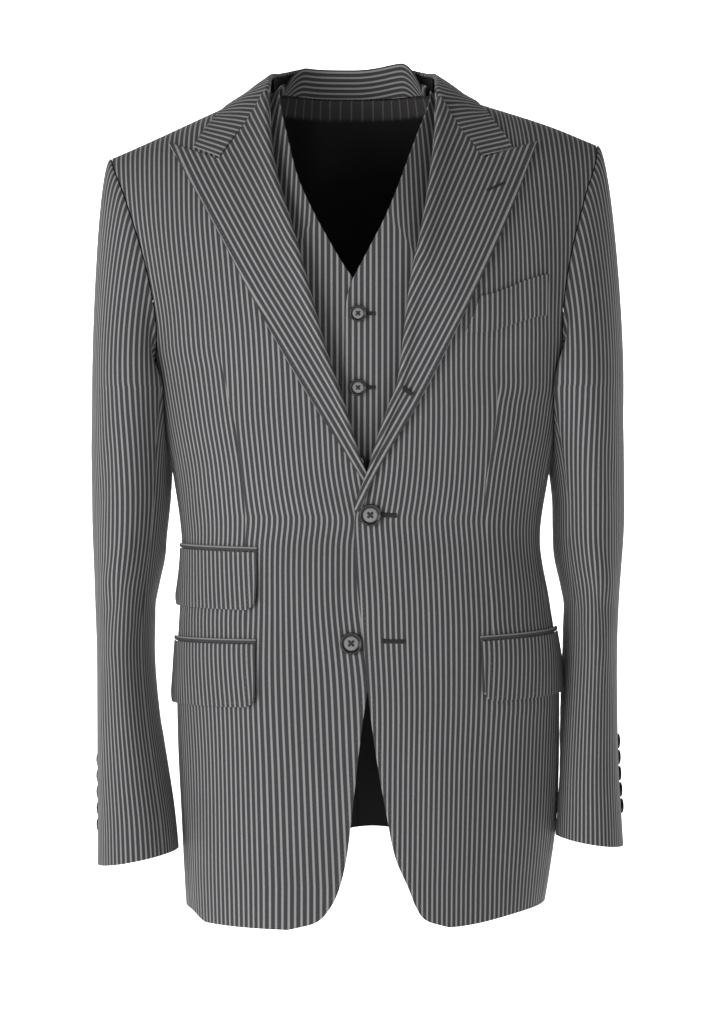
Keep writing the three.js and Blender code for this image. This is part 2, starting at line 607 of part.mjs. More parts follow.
// ---- Pockets ----
function pocket({ name, front, rear, top, slant, deep }) {
  const frontAngle = angleOf(front, top);
  const lean = (u) => top + slant * u;
  const jetting = (u, v) => [lerp(frontAngle, rear, u), lean(u) + JETTING * (1 - v)];
  add(`jacket_jetting_${name}`, ringWall(7, 1, 1.6, jetting, () => 1.6 + LAY + 0.2), STRIPED_WOOL);
  // The flap hangs from the jetting, and its two lower corners are round.
  const wide = onRing(frontAngle, top).distanceTo(onRing(rear, top)) * 1.08;
  const corner = (u) => {
    const d = Math.min(Math.min(u, 1 - u) * wide, FLAP_CORNER);
    return FLAP_CORNER - Math.sqrt(FLAP_CORNER ** 2 - (FLAP_CORNER - d) ** 2);
  };
  const spread = (u) => (1 - Math.cos(Math.PI * u)) / 2;
  const flap = (u, v) => {
    const s = spread(u);
    return [lerp(frontAngle, rear, s), lean(s) - SEAM - (deep - corner(s)) * v];
  };
  add(`jacket_flap_${name}`, ringWall(9, 3, CLOTH, flap, () => CLOTH + LAY), STRIPED_WOOL);
}

// The chest pocket's curved welt: its inner end goes to the lapel's edge.
function welt() {
  const rise = (x) => WELT.rise * smooth((x - WELT.innerLow + 3) / (WELT.outer - WELT.innerLow + 11)) ** 1.2;
  const place = (u, v) => {
    const x = lerp(lerp(WELT.inner, WELT.innerLow, v), WELT.outer - 1.5 * v, u);
    const z = WELT.top + rise(x) - WELT.deep * v - 5 * v * u;
    return [angleOf(x, z), z];
  };
  add("jacket_breast_welt", ringWall(6, 2, 1.4, place, () => 1.4 + LAY), STRIPED_WOOL);
}

// ---- Waistcoat ----
// How far inside the ring surface the waistcoat lies at a point of it.
function inset(p) {
  const atNeck = 1 - smooth((Math.abs(p.x - NECK_X) - 75) / 30);
  const below = smooth((ridge(p.x) - p.z) / 90);
  return lerp(SHOULDER_INSET, INSET, Math.max(atNeck, below));
}
function vestFront(side) {
  const sign = side === "left" ? 1 : -1;
  const hem = (x) => {
    const out = Math.abs(x);
    return out < 35 ? VEST_HEM.point : lerp(VEST_HEM.point, VEST_HEM.side, smooth((out - 35) / 95));
  };
  const inner = (z) => angleOf(vestEdge[side](z), z);
  const outer = (z) => (z > VEST_ARMPIT ? vestArmhole.front(z) : VEST_SIDE_GAP);
  const rows = { top: ridge, armpit: VEST_ARMPIT, hem, above: ARM_ROWS.vest / VEST_ROWS, power: 1.3 };
  const place = (u, v) =>
    rowPlace(crowd(u), v, inner, seamAngle(side, outer, 0), rows);
  const lift = (u, v) => {
    const [degrees, z] = place(u, v);
    const p = onRing(degrees, z);
    const near = 1 - smooth((Math.abs(p.x) - 15) / 40);
    return sign * VEST_LAP * near * smooth((-z - 110) / 50) - inset(p);
  };
  add(`vest_front_${side}`, ringWall(7, VEST_ROWS, SOFT, place, lift), STRIPED_WOOL);
}

function vestBack() {
  const top = (x) => Math.min(ridge(x), VEST_NECK);
  const hem = () => VEST_HEM.back;
  const rows = { top, armpit: VEST_ARMPIT, hem, above: ARM_ROWS.vest / VEST_ROWS, power: 1.3 };
  const edge = (side) => (z) => {
    const angle = z > VEST_ARMPIT ? -vestArmhole.back(z) : -VEST_SIDE_GAP;
    return side === "left" ? 360 + angle : 180 - angle;
  };
  const place = (u, v) => rowPlace(u, v, edge("right"), edge("left"), rows);
  add("vest_back", ringWall(12, VEST_ROWS, SOFT, place, (u, v) => -inset(onRing(...place(u, v)))), LINING);
}

// The neckband: the fronts' own cloth carried round the back of the neck to a centre seam.
function neckband(side) {
  const sign = side === "left" ? 1 : -1;
  const foot = (u) => {
    const x = NECK_X + sign * BAND.side * Math.cos((Math.PI / 2) * u);
    const z = Math.min(ridge(x), VEST_NECK);
    const p = onRing(360 - angleOf(x, z), z);
    return lifted(p, -inset(p));
  };
  const surface = (u, v) => {
    const s = lerp(0.02, 0.996, u);
    const p = foot(s);
    const crown = side === "left" ? BAND.leftCrown * Math.sin(Math.PI * s) ** 2 : 0;
    const tall = lerp(BAND.low, BAND.high, smooth(s / 0.5)) + crown;
    const inward = new THREE.Vector3(-p.x, -p.y, 0).normalize();
    p.addScaledVector(inward, BAND.lean * v);
    p.z += SEAM * 2 + tall * v;
    return p;
  };
  add(`vest_neckband_${side}`, freeWall(9, 2, SOFT, surface, sign), STRIPED_WOOL);
}

// ---- Buttons ----
// A button, the foot of its thread shank on z 0: shank, flat back, rim and dished face.
function buttonGeometry({ r, thick }) {
  const profile = [
    [0, 0],
    [SHANK.r, 0],
    [SHANK.r, SHANK.long],
    [0.8 * r, SHANK.long],
    [r, SHANK.long + 0.5 * thick],
    [0.9 * r, SHANK.long + thick],
    [0.66 * r, SHANK.long + 0.7 * thick],
    [0, SHANK.long + 0.7 * thick],
  ];
  const SIDES = 10;
  const points = profile.map(([across, up]) => new THREE.Vector2(across, up));
  return new THREE.LatheGeometry(points, SIDES).rotateX(Math.PI / 2);
}
// A button sewn to a piece: it faces along the normal, over the point where that meets the piece.
function sewButton(name, size, piece, near, normal) {
  const REACH = 20;
  const from = near.clone().addScaledVector(normal, REACH);
  const ray = new THREE.Raycaster(from, normal.clone().negate(), 0, 2 * REACH);
  const [hit] = ray.intersectObject(suit.getObjectByName(piece));
  const mesh = add(name, buttonGeometry(size), HORN);
  mesh.position.copy(hit.point).addScaledVector(normal, SEAM);
  mesh.quaternion.setFromUnitVectors(new THREE.Vector3(0, 0, 1), normal);
}
function buttons() {
  for (const { name, x, z, side } of FRONT_BUTTONS) {
    const p = onFront(x, z, 0);
    sewButton(name, JACKET_BUTTON, `jacket_front_${side}`, p, outward(p));
  }
  for (let i = 0; i < VEST_BUTTONS.count; i += 1) {
    const z = VEST_BUTTONS.top - i * VEST_BUTTONS.pitch;
    const p = onFront(VEST_BUTTONS.x, z, -INSET);
    sewButton(`vest_button_${i + 1}`, SMALL_BUTTON, "vest_front_left", p, outward(p));
  }
  for (const side of ["right", "left"]) {
    const surface = sleeveSurface(side);
    for (let i = 0; i < CUFF_BUTTONS.count; i += 1) {
      const share = CUFF_BUTTONS.round;
      const end = cuffHeight(side, share);
      const z = end + CUFF_BUTTONS.above + i * CUFF_BUTTONS.pitch;
      const v = HEAD_SHARE + ((1 - HEAD_SHARE) * (SLEEVE[0].z - z)) / (SLEEVE[0].z - end);
      const round = surface(share + 0.01, v).sub(surface(share - 0.01, v));
      const along = surface(share, v + 0.01).sub(surface(share, v - 0.01));
      const normal = round.cross(along).normalize();
      const p = surface(share, v);
      if (normal.x * p.x < 0) normal.negate();
      sewButton(`cuff_button_${side}_${i + 1}`, CUFF_BUTTON, `jacket_sleeve_top_${side}`, p, normal);
    }
  }
}

for (const side of ["right", "left"]) {
  jacketFront(side);
  jacketSide(side);
  jacketBack(side);
  lapel(side);
  sleeve(side);
  vestFront(side);
  neckband(side);
}
collar();
POCKETS.forEach(pocket);
welt();
vestBack();
buttons();

export default suit;
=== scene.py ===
"""A striped suit jacket buttoned over its waistcoat, filled out as if worn, with nothing inside.

Each cloth piece is a surface worked out with numpy on a grid of points, made a closed wall with
rounded edges. Lengths are in millimetres in the tables and functions, and become metres when a mesh
is made. The front faces -Y and the wearer's left is +X.
"""

import math

import bpy
import numpy as np
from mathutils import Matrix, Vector


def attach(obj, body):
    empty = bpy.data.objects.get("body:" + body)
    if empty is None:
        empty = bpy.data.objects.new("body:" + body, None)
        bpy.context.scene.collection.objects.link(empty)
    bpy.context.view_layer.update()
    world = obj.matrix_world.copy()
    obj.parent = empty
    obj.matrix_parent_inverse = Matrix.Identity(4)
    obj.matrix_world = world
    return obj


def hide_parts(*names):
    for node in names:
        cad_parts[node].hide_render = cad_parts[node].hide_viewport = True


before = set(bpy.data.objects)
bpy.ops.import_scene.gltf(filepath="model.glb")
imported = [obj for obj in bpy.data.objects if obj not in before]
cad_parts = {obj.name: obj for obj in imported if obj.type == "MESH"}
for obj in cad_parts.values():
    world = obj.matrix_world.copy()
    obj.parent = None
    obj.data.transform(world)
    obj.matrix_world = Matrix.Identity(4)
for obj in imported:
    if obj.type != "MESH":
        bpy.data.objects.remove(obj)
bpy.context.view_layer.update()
MM = 0.001

# ---------------------------------------------------------------------------------------------------
# Tables and small helpers
# ---------------------------------------------------------------------------------------------------


def slopes(key, to):
    """At each place, the slope from the place before it to the place after it."""
    before = np.maximum(np.arange(len(key)) - 1, 0)
    after = np.minimum(np.arange(len(key)) + 1, len(key) - 1)
    return (to[after] - to[before]) / (key[after] - key[before]).reshape(-1, *[1] * (to.ndim - 1))


def cubic(key, to, slope, x):
    """Values between the places of a key, on cubics that have the given slopes there."""
    x = np.clip(x, key[0], key[-1])
    i = np.clip(np.searchsorted(key, x) - 1, 0, len(key) - 2)
    shape = (*np.shape(x), *[1] * (to.ndim - 1))
    span = np.reshape(key[i + 1] - key[i], shape)
    t = np.reshape(x - key[i], shape) / span
    u = 1 - t
    ends = to[i] * (1 + 2 * t) * u * u + to[i + 1] * t * t * (3 - 2 * t)
    return ends + span * (slope[i] * t * u * u - slope[i + 1] * t * t * u)


class Table:
    """Rows of named columns, and each column as a smooth function of the first one."""

    def __init__(self, names, *rows):
        data = np.array(rows, float)
        data = data[np.argsort(data[:, 0])]
        self.key = data[:, 0]
        self.columns = dict(zip(names.split(), data.T))
        self.slopes = {name: slopes(self.key, to) for name, to in self.columns.items()}

    def __call__(self, name, x):
        return cubic(self.key, self.columns[name], self.slopes[name], x)


def lerp(a, b, t):
    """a at t 0 and b at t 1, and straight between them."""
    return a + (b - a) * t


def smooth(t):
    """0 below 0, 1 above 1, and a smooth step between them."""
    t = np.clip(t, 0, 1)
    return t * t * (3 - 2 * t)


def unit(v):
    """Vectors divided by their lengths."""
    return v / np.maximum(np.linalg.norm(v, axis=-1, keepdims=True), 1e-9)


def xyz(x, y, z):
    """Points from three arrays of coordinates."""
    return np.stack(np.broadcast_arrays(x, y, z), axis=-1).astype(float)


def put(values):
    """A column of numbers that multiplies points."""
    return np.asarray(values)[..., None]


EDGE = 1.3  # the grid line beside an edge keeps the shading of the rounded edge to itself


def shares(size, cell):
    """Even shares from 0 to 1 for a piece of this size, with one more beside each end."""
    count = max(int(round(size / cell)), 1)
    inner = np.linspace(0, 1, count + 1)[1:-1]
    beside = min(EDGE / size, 0.3 / count)
    return np.concatenate([[0, beside], inner, [1 - beside, 1]])


def grid(across, down):
    """Shares u across and v down as two arrays of rows and columns."""
    return np.meshgrid(across, down)


# ---------------------------------------------------------------------------------------------------
# The suit's sizes, close to those of its solids
# ---------------------------------------------------------------------------------------------------

SIGN = {"left": 1, "right": -1}  # of x on each side

CLOTH = 1.8  # canvassed jacket cloth with its lining
SOFT = 1.5  # waistcoat cloth
SEAM = 0.3  # gap between neighbours
LAY = 0.8  # gap under a piece that lies on a panel

RINGS = Table(
    "z right left front back",
    (60, 246, 239, 106, 92),
    (-50, 243, 236, 112, 98),
    (-100, 233, 229, 117, 105),
    (-150, 216, 216, 121, 109),
    (-200, 199, 203, 122, 109),
    (-243, 187, 193, 120, 106),
    (-300, 175, 182, 115, 97),
    (-345, 166, 173, 111, 91),
    (-400, 159, 166, 108, 88),
    (-455, 161, 175, 110, 93),
    (-510, 164, 183, 114, 101),
    (-580, 163, 184, 118, 109),
    (-650, 159, 181, 122, 113),
    (-700, 156, 174, 125, 115),
    (-745, 153, 166, 127, 116),
)
SHOULDER_TOP, SHOULDER_SLOPE, SHOULDER_ROUND = 43.4, 0.415, 30  # height, fall and rounding
SHOULDER_END = {"right": (-5.2, 70, 150), "left": (7.6, 85, 110)}  # rise, where from, and over what
NECK_RISE, NECK_REACH, NECK_X = 62, 62, -3.5  # the bell that rises at the neck, and its middle
ROUND = 2.3  # power of the rings: 2 is an ellipse, more is squarer
ARCH_DROP, ARCH_POWER = 200, 1.4  # how the chest and back close over the shoulder

ARMPIT = -243
HEM = {"right": -737.2, "left": -735.5}
LONGEST = 737.2  # of the two fronts, which the table of their edges is for
HEM_TURN = {"right": (133, 17), "left": (80, 90)}  # where the hem starts to rise, and over what
FRONT_EDGE = Table(
    "z right left",
    (30, -80, 72),
    (-40, -76, 68.5),
    (-80, -70, 64),
    (-125, -57.5, 57),
    (-180, -43, 47),
    (-235, -28, 40.5),
    (-266, -17.5, 36),
    (-285, -11, 29),
    (-335, 5, 12),
    (-375, 22, -1),
    (-425, 26, -1),
    (-490, 17, 6),
    (-545, 7, 11),
    (-590, 1, 17),
    (-635, -4, 25),
    (-675, -9, 33),
    (-703, -16, 45),
    (-720, -25, 52),
    (-731, -37, 61),
    (-737.2, -60, 80),
)
ARMHOLE = Table(
    "z front back",
    (60, 25, 25),
    (-50, 25, 25),
    (-90, 29.5, 31),
    (-135, 31, 34),
    (-180, 29.5, 33),
    (-212, 26, 30),
    (-232, 21, 27),
    (-243, 16, 24),
)
SIDE_FRONT, SIDE_BACK = 16, -24  # degrees from the side to the seams of the side panel
BACK_NECK = 9  # height of the back under the collar
BACK_HEM_CENTRE, BACK_HEM_SIDE = -672, -719
BACK_HEM_X, BACK_HEM_REACH = 15, 165  # where it is highest, and how far from there to its side
SIDE_HEM = {"right": -729, "left": -725.5}
LAP = 1.3  # how far the fastened fronts part

LAPEL_EDGE = Table(
    "v right_x right_z left_x left_z",
    (0, 6, -346, 2, -374),
    (0.12, -12, -318, 17.5, -337),
    (0.3, -48, -262, 53.5, -277),
    (0.5, -84, -199, 89, -208),
    (0.75, -126, -120, 129, -123),
    (1, -169, -44, 161, -44),
)
NOTCH = {"right": (-121, -63), "left": (111.5, -62)}
GORGE_TOP = {"right": (-79.5, -2), "left": (73, -8)}

COLLAR = Table(
    "s fold_x fold_y left_x left_y rise edge_x edge_right edge_left",
    (0, 117.7, -65, -3.2, -2.4, 0, 142.5, -48, -54),
    (0.06, 107, -59.5, -2.6, -2.7, 0, 134, -40.5, -46.5),
    (0.12, 92, -51.5, -1.9, -4.1, 0, 123, -29.5, -35.5),
    (0.18, 77, -40, -1.2, -5.2, 1, 115, -16, -23),
    (0.24, 75.5, -17, -0.3, -2, 4, 109, 1, -1),
    (0.3, 75, 3, 0, 0, 8, 101, 22, 22),
    (0.36, 68, 28, 0, 0, 13, 86, 39, 39),
    (0.42, 52, 52, 0, 0, 21, 61, 60, 60),
    (0.46, 30, 67, 0, 0, 26, 34, 75, 75),
    (0.5, 0, 72, 0, 0, 28, 0, 79, 79),
)

SLEEVE = Table(
    "z right left y wide_right wide_left deep",
    (-262, 201, 200, 0, 39.5, 42, 73),
    (-310, 204, 206, 4, 37, 36, 73),
    (-359, 205, 210, 7, 35.5, 32.5, 72),
    (-400, 207, 210.5, 8, 33, 31.5, 71),
    (-455, 210, 212.5, 6, 28, 25.5, 70),
    (-500, 210, 211.5, 1, 26, 24.5, 67),
    (-555, 207, 209.5, -8, 28, 26, 62),
    (-610, 202, 208, -18, 32, 28, 56),
    (-650, 198, 208, -26, 35, 30, 52),
    (-692, 195.5, 208, -33, 37, 32, 49),
)
SLEEVE_TOP = -262  # the highest level ring of a sleeve, below its head
CUFF = {"right": (-690, -676), "left": (-673, -663.5)}  # height of the hem outside and inside
CUFF_REAR = 6  # how much lower the cuff is behind
SEAM_FRONT, SEAM_BACK_TOP, SEAM_BACK_CUFF = 0.37, 0.73, 0.86  # share round from the outside
SEAM_HALF = 0.0006  # half of a sleeve's seam, as a share round it
HEAD_GAP, HEAD_SHARE = 0.6, 0.3  # gap at the armhole, and the head's share of the sleeve's length
BESIDE = 2.4  # a sleeve's gap to the body beside it
ROPE_OUT, ROPE_UP = 34, 12  # how strongly the head leaves the armhole outwards and upwards

POCKETS = {
    "right": dict(front=-88, rear=176, top=-490, slant=0, deep=55),
    "ticket": dict(front=-87, rear=172, top=-409.5, slant=3, deep=51),
    "left": dict(front=108, rear=4, top=-487.5, slant=6, deep=53),
}
JETTING, JETTING_THICK, FLAP_CORNER = 4.5, 1.6, 9.5  # height, thickness and corner's radius
JETTING_STRIPE = 0.22  # where between two stripes the jetting is cut, as a share
WELT_INNER, WELT_INNER_LOW, WELT_OUTER = 107, 94, 168
WELT_TOP, WELT_RISE, WELT_DEEP, WELT_THICK = -188, 24, 31, 1.4

INSET, SHOULDER_INSET = 10, 2.4  # how far inside the jacket the waistcoat lies
VEST_LAP = 1.2  # how far its fastened fronts part
VEST_EDGE = Table(
    "z right left",
    (30, -79, 75),
    (0, -76.5, 72),
    (-40, -67.5, 58.5),
    (-80, -55.5, 42),
    (-120, -34, 23),
    (-155, -14, 5),
    (-180, 2, -7),
    (-215, 12, -11),
    (-300, 12, -11),
    (-450, 12, -11),
    (-490, 3, -2),
    (-510, -12, 13),
    (-522, -34, 35),
)
VEST_ARMHOLE = Table(
    "z front back",
    (60, 56, 56),
    (-50, 55, 55),
    (-120, 50, 50),
    (-190, 43, 42),
    (-235, 32, 30),
    (-262, 17, 15),
    (-275, 0.03, 0.03),
)
VEST_ARMPIT, VEST_SIDE, VEST_POINT, VEST_BACK_HEM = -275, -486, -522, -478
VEST_NECK = 12  # height of its back under the neckband
BAND_SIDE, BAND_LOW, BAND_HIGH, BAND_LEAN = 74.5, 5, 27, 4  # half width, heights and lean
BAND_CROWN = {"right": 0, "left": 4.5}  # how much it rises between the side and the centre back
BAND_FORWARD, BAND_END = 32, 0.12  # how far its narrow end runs forward, and that end's share

FRONT_BUTTONS = {"middle": (11.5, -377, "left"), "lower": (-5, -489, "right")}  # x, z and front
VEST_BUTTONS, VEST_BUTTON_X, VEST_BUTTON_TOP, VEST_BUTTON_PITCH = 5, 1, -202, 64.8
CUFF_BUTTONS, CUFF_ABOVE, CUFF_PITCH = 5, 34, 14.4  # count, height of the first, and pitch
CUFF_ROUND = {"right": 0.942, "left": 0.96}  # share of the way round to the cuff buttons

CELL = 4.0  # size of a cell of the cloth's grid

# Where four threads of the cloth run on each front, as distances across the front from x = 0, by
# height. Each thread keeps its own place in the cloth, so the stripes run along them, and the dart
# between the second and the third swallows the cloth that is missing there.
THREADS = {
    "right": Table(
        "z edge chest dart side",
        (40, 88, 125, 160, 197),
        (-27, 84, 121, 156, 192.6),
        (-69, 79, 115.5, 150.4, 187.3),
        (-117, 75, 111.9, 146.8, 183.2),
        (-162, 69, 105.6, 140.5, 177.2),
        (-207, 64, 100.3, 135.4, 171.9),
        (-250, 61.3, 97.7, 130.7, 168.6),
        (-293, 59, 95.7, 125.2, 162.6),
        (-338, 55.5, 91.3, 118.2, 154.9),
        (-382, 50, 86.9, 114.9, 151.7),
        (-405, 51.3, 88, 115.6, 152.5),
        (-455, 51.1, 88.2, 123.1, 160),
        (-521, 48.3, 89.4, 124.3, 160),
        (-600, 45, 86.6, 121.5, 156),
        (-700, 41, 83.9, 118.8, 157),
    ),
    "left": Table(
        "z edge chest dart side",
        (40, 43, 103, 146, 163),
        (-39, 43, 103, 146, 163.5),
        (-100, 43, 103, 146.5, 165.5),
        (-161, 43, 103, 147.5, 168.2),
        (-206, 43, 103, 147.8, 169.5),
        (-250, 43, 103.1, 147.3, 170.7),
        (-294, 43, 104.3, 143.1, 167.8),
        (-338, 41.3, 103.2, 136, 160.4),
        (-382, 36.5, 100.6, 131.1, 155.6),
        (-405, 37.2, 101.8, 131.5, 156),
        (-455, 39.8, 104.2, 134.5, 158.5),
        (-480, 40.5, 104.8, 136, 160),
        (-540, 42.3, 103.9, 148.1, 171.5),
        (-600, 41.6, 101.5, 145.7, 169),
        (-700, 40.5, 98.9, 143.1, 166.5),
    ),
}
THREAD_PLACE = {"right": (50, 86.9, 121.8, 158.7), "left": (38.4, 103, 147.2, 170.6)}
DART = {
    "right": Table(
        "z x", (60, -136), (-225, -122), (-303, -106), (-364, -99), (-405, -98), (-455, -98)
    ),
    "left": Table(
        "z x", (60, 126), (-256, 124), (-303, 121), (-355, 113), (-412, 115), (-482, 119)
    ),
}
DART_ENDS = {"right": (-225, -405), "left": (-256, -480)}

KINK, KINK_Z = 1.2, -380  # how far the fastening draws the threads aside, and at what height

# Soft folds of the body, as seen from the front: from (x, z) to (x, z), bowed sideways, with their
# half width and their height, which is below zero for a trough.
FRONT_FOLDS = [
    # x0, z0, x1, z1, bow, wide, height
    (-6, -388, -15, -505, 1, 8, -1.8),
    (-4, -380, -112, -379, 1, 3, -0.5),
    (18, -380, 128, -381, -1, 3, -0.5),
    (4, -382, -86, -352, -5, 9, 0.9),
    (2, -392, -104, -388, 4, 10, -0.8),
    (-2, -398, -80, -430, 6, 10, 0.8),
    (20, -380, 98, -346, 6, 10, 0.9),
    (24, -390, 120, -392, -5, 11, -0.8),
    (18, -400, 92, -440, -7, 10, 0.7),
    (-150, -150, -128, -300, 8, 14, -1.4),
    (-172, -110, -150, -250, 5, 10, 1.1),
    (152, -140, 128, -290, -8, 14, -1.4),
    (172, -100, 153, -240, -6, 10, 1.1),
    (-120, -560, -104, -735, 4, 16, 1.0),
    (-60, -570, -50, -735, -5, 15, -1.0),
    (62, -560, 70, -728, 6, 16, 0.9),
    (120, -560, 124, -728, -5, 15, -1.1),
    (-150, -395, -120, -330, 4, 8, 0.7),
    (150, -470, 118, -395, -6, 9, 0.8),
]
BACK_FOLDS = [
    (-150, -110, -120, -290, 10, 15, -1.6),
    (-166, -130, -142, -270, 8, 10, 1.2),
    (148, -105, 124, -300, -9, 15, -1.5),
    (168, -125, 146, -262, -7, 10, 1.1),
    (-24, -20, -96, -58, -8, 11, 0.8),
    (20, -24, 88, -60, 9, 12, 0.8),
    (-10, -330, -124, -362, -6, 13, 1.0),
    (12, -346, 130, -372, 8, 14, 1.0),
    (-20, -380, -118, -398, 7, 12, -0.9),
    (16, -372, 112, -402, -5, 12, -0.9),
    (-84, -450, -70, -690, 5, 20, 1.3),
    (60, -440, 82, -694, -7, 22, 1.4),
    (-128, -470, -118, -700, -5, 16, -1.2),
    (122, -480, 128, -702, 6, 17, -1.1),
    (2, -470, -6, -676, 3, 18, -0.9),
]

# ---------------------------------------------------------------------------------------------------
# The ring surface that the jacket follows
# ---------------------------------------------------------------------------------------------------


def ridge(x):
    """Height of the shoulder seam: a straight slope, rounded in its middle, and a bell at the neck."""
    out = x - NECK_X
    slope = SHOULDER_TOP - SHOULDER_SLOPE * np.hypot(out, SHOULDER_ROUND)
    for sign, (rise, start, over) in ((-1, SHOULDER_END["right"]), (1, SHOULDER_END["left"])):
        slope = slope + rise * smooth((sign * out - start) / over)
    return slope + NECK_RISE * np.exp(-((out / NECK_REACH) ** 4))


def arch_share(x, z):
    """1 - (1 - depth below the shoulder seam / ARCH_DROP) ** ARCH_POWER."""
    left = np.clip(1 - np.maximum(ridge(x) - z, 0) / ARCH_DROP, 0, None)
    return 1 - left**ARCH_POWER


def half_width(x, z):
    """The ring's half width at a height, on the side of x."""
    return np.where(x >= 0, RINGS("left", z), RINGS("right", z))


def half_depth(y, z):
    """The ring's half depth at a height, in front or behind."""
    return np.where(y <= 0, RINGS("front", z), RINGS("back", z))


def field(p):
    """|y / depth| ** ROUND - (1 - |x / width| ** ROUND) * arch share: zero on the surface."""
    x, y, z = p[..., 0], p[..., 1], p[..., 2]
    across = (np.abs(x) / half_width(x, z)) ** ROUND
    return (np.abs(y) / half_depth(y, z)) ** ROUND - (1 - across) * arch_share(x, z)


def outward(p):
    """The unit gradient of the field, by central differences 1 mm across."""
    steps = np.eye(3) * 0.5
    return unit(np.stack([field(p + s) - field(p - s) for s in steps], axis=-1))


def bent(share):
    """A cosine or sine to the power 2 / ROUND, with its sign: it makes an ellipse a superellipse."""
    return np.sign(share) * np.abs(share) ** (2 / ROUND)


def on_ring(degrees, z):
    """The superellipse ring at a height, its depth narrowed towards the shoulder seam."""
    degrees, z = np.broadcast_arrays(np.asarray(degrees, float), np.asarray(z, float))
    c, s = bent(np.cos(np.radians(degrees))), bent(np.sin(np.radians(degrees)))
    x = np.where(c >= 0, RINGS("left", z), RINGS("right", z)) * c
    depth = np.where(s >= 0, RINGS("front", z), RINGS("back", z))
    parted = SEAM / 2 * np.clip(8 * s, -1, 1)
    return xyz(x, -depth * s * arch_share(x, z) ** (1 / ROUND) - parted, z)


def height_over(x, y):
    """Height of the ring surface over x and y, near the neck: the field solved for z in six steps."""
    z = ridge(x)
    for _ in range(6):
        across = 1 - (np.abs(x) / half_width(x, z)) ** ROUND
        share = np.minimum((np.abs(y) / half_depth(y, z)) ** ROUND / across, 0.98)
        z = ridge(x) - ARCH_DROP * (1 - (1 - share) ** (1 / ARCH_POWER))
    return z


def lifted(p, height):
    """Points moved out along the field's gradient."""
    return p + outward(p) * put(height)


def angle_of(x, z):
    """Angle of the front half of a ring at this x."""
    share = np.clip(x / half_width(x, z), -1, 1)
    return np.degrees(np.arccos(np.sign(share) * np.abs(share) ** (ROUND / 2)))


def sided(side, degrees):
    """An angle measured from the left side, or its mirror image on the right."""
    return degrees if side == "left" else 180 - degrees


def clear_of(p, height):
    """Points pushed out until they are this far from the ring surface."""
    p = p.copy()
    for _ in range(3):
        n = outward(p)
        here = field(p)
        away = here / np.maximum(field(p + n) - here, 1e-6)
        p += n * put(np.maximum(height - away, 0))
    return p


ACROSS_STEPS = 40


def across_body(x, z, half="front"):
    """Distance across the stripes from x = 0 at a height, on the front or the back: the sum over x of
    sqrt(1 + fx ** 2 / (1 + fz ** 2)), where y = f(x, z) is the surface."""
    x, z = np.broadcast_arrays(np.asarray(x, float), np.asarray(z, float))
    total = np.zeros(x.shape)
    h = 0.5

    def depth(a, b):
        """How far the surface is in front or behind, from the ring's formula."""
        round_ = np.clip(1 - (np.abs(a) / half_width(a, b)) ** ROUND, 0, 1)
        return RINGS(half, b) * (round_ * arch_share(a, b)) ** (1 / ROUND)

    for i in range(ACROSS_STEPS):
        a = x * (i + 0.5) / ACROSS_STEPS
        fx = (depth(a + h, z) - depth(a - h, z)) / (2 * h)
        fz = (depth(a, z + h) - depth(a, z - h)) / (2 * h)
        total += np.sqrt(1 + fx**2 / (1 + fz**2))
    return total * x / ACROSS_STEPS


def stretches(s, z, side):
    """Places in the cloth at a distance across a front: by its inner stretch, and by its outer one."""
    edge, chest, dart, outer = (THREADS[side](name, z) for name in ("edge", "chest", "dart", "side"))
    p = THREAD_PLACE[side]
    inner = np.where(
        s < chest, p[1] - (chest - s) * (p[1] - p[0]) / (chest - edge), p[1] + s - chest
    )
    beyond = np.where(
        s < outer, p[3] - (outer - s) * (p[3] - p[2]) / (outer - dart), p[3] + s - outer
    )
    return inner, beyond


def front_grain(x, z, side):
    """Place in the cloth of a point of a front. The dart parts the cloth into an inner and an outer
    stretch, which are one again past its ends. The fastening draws the threads in at the waist."""
    sign = SIGN[side]
    x, z = np.broadcast_arrays(np.asarray(x, float), np.asarray(z, float))
    part = DART[side]("x", z)
    inner, beyond = stretches(sign * across_body(x, z), z, side)
    there = stretches(sign * across_body(part, z), z, side)
    high, low = DART_ENDS[side]
    whole = np.maximum(smooth((z - high + 25) / 25), smooth((low - 60 - z) / 20))
    beyond = beyond + whole * (there[0] - there[1])
    kink = KINK * np.exp(-np.abs(z - KINK_Z) / 9) * (1 - smooth((np.abs(x) - 80) / 60))
    return np.where(sign * x < sign * part, inner, beyond) + kink


def fold_heights(folds, x, z):
    """The sum of soft folds. Each is height * exp(-(distance / wide) ** 2) from a bowed line, and
    fades in and out along it."""
    total = np.zeros(np.broadcast(x, z).shape)
    for x0, z0, x1, z1, bow, wide, height in folds:
        dx, dz = x1 - x0, z1 - z0
        long = math.hypot(dx, dz)
        t = ((x - x0) * dx + (z - z0) * dz) / long**2
        off = ((x - x0) * -dz + (z - z0) * dx) / long
        off = off - bow * np.sin(np.pi * np.clip(t, 0, 1))
        fade = smooth(t / 0.3 + 0.15) * smooth((1 - t) / 0.45 + 0.15)
        spread = wide * (0.8 + 0.5 * np.clip(t, 0, 1))
        total += height * np.exp(-((off / spread) ** 2)) * fade
    return total


def dart_dip(x, z, side):
    """A fine sunk line along the dart, with the cloth a little full on each side of it: a low wide
    bell less a narrow one, both of the distance to the dart."""
    off = x - DART[side]("x", z)
    high, low = DART_ENDS[side]
    here = smooth((high - z) / 12) * smooth((z - low) / 4)
    return here * (0.35 * np.exp(-((off / 5) ** 2)) - 0.75 * np.exp(-((off / 1.1) ** 2)))


def front_relief(x, z):
    """Folds of the fronts, faded out towards the shoulder seam."""
    low = smooth((ridge(x) - 25 - z) / 60)
    return fold_heights(FRONT_FOLDS, x, z) * low


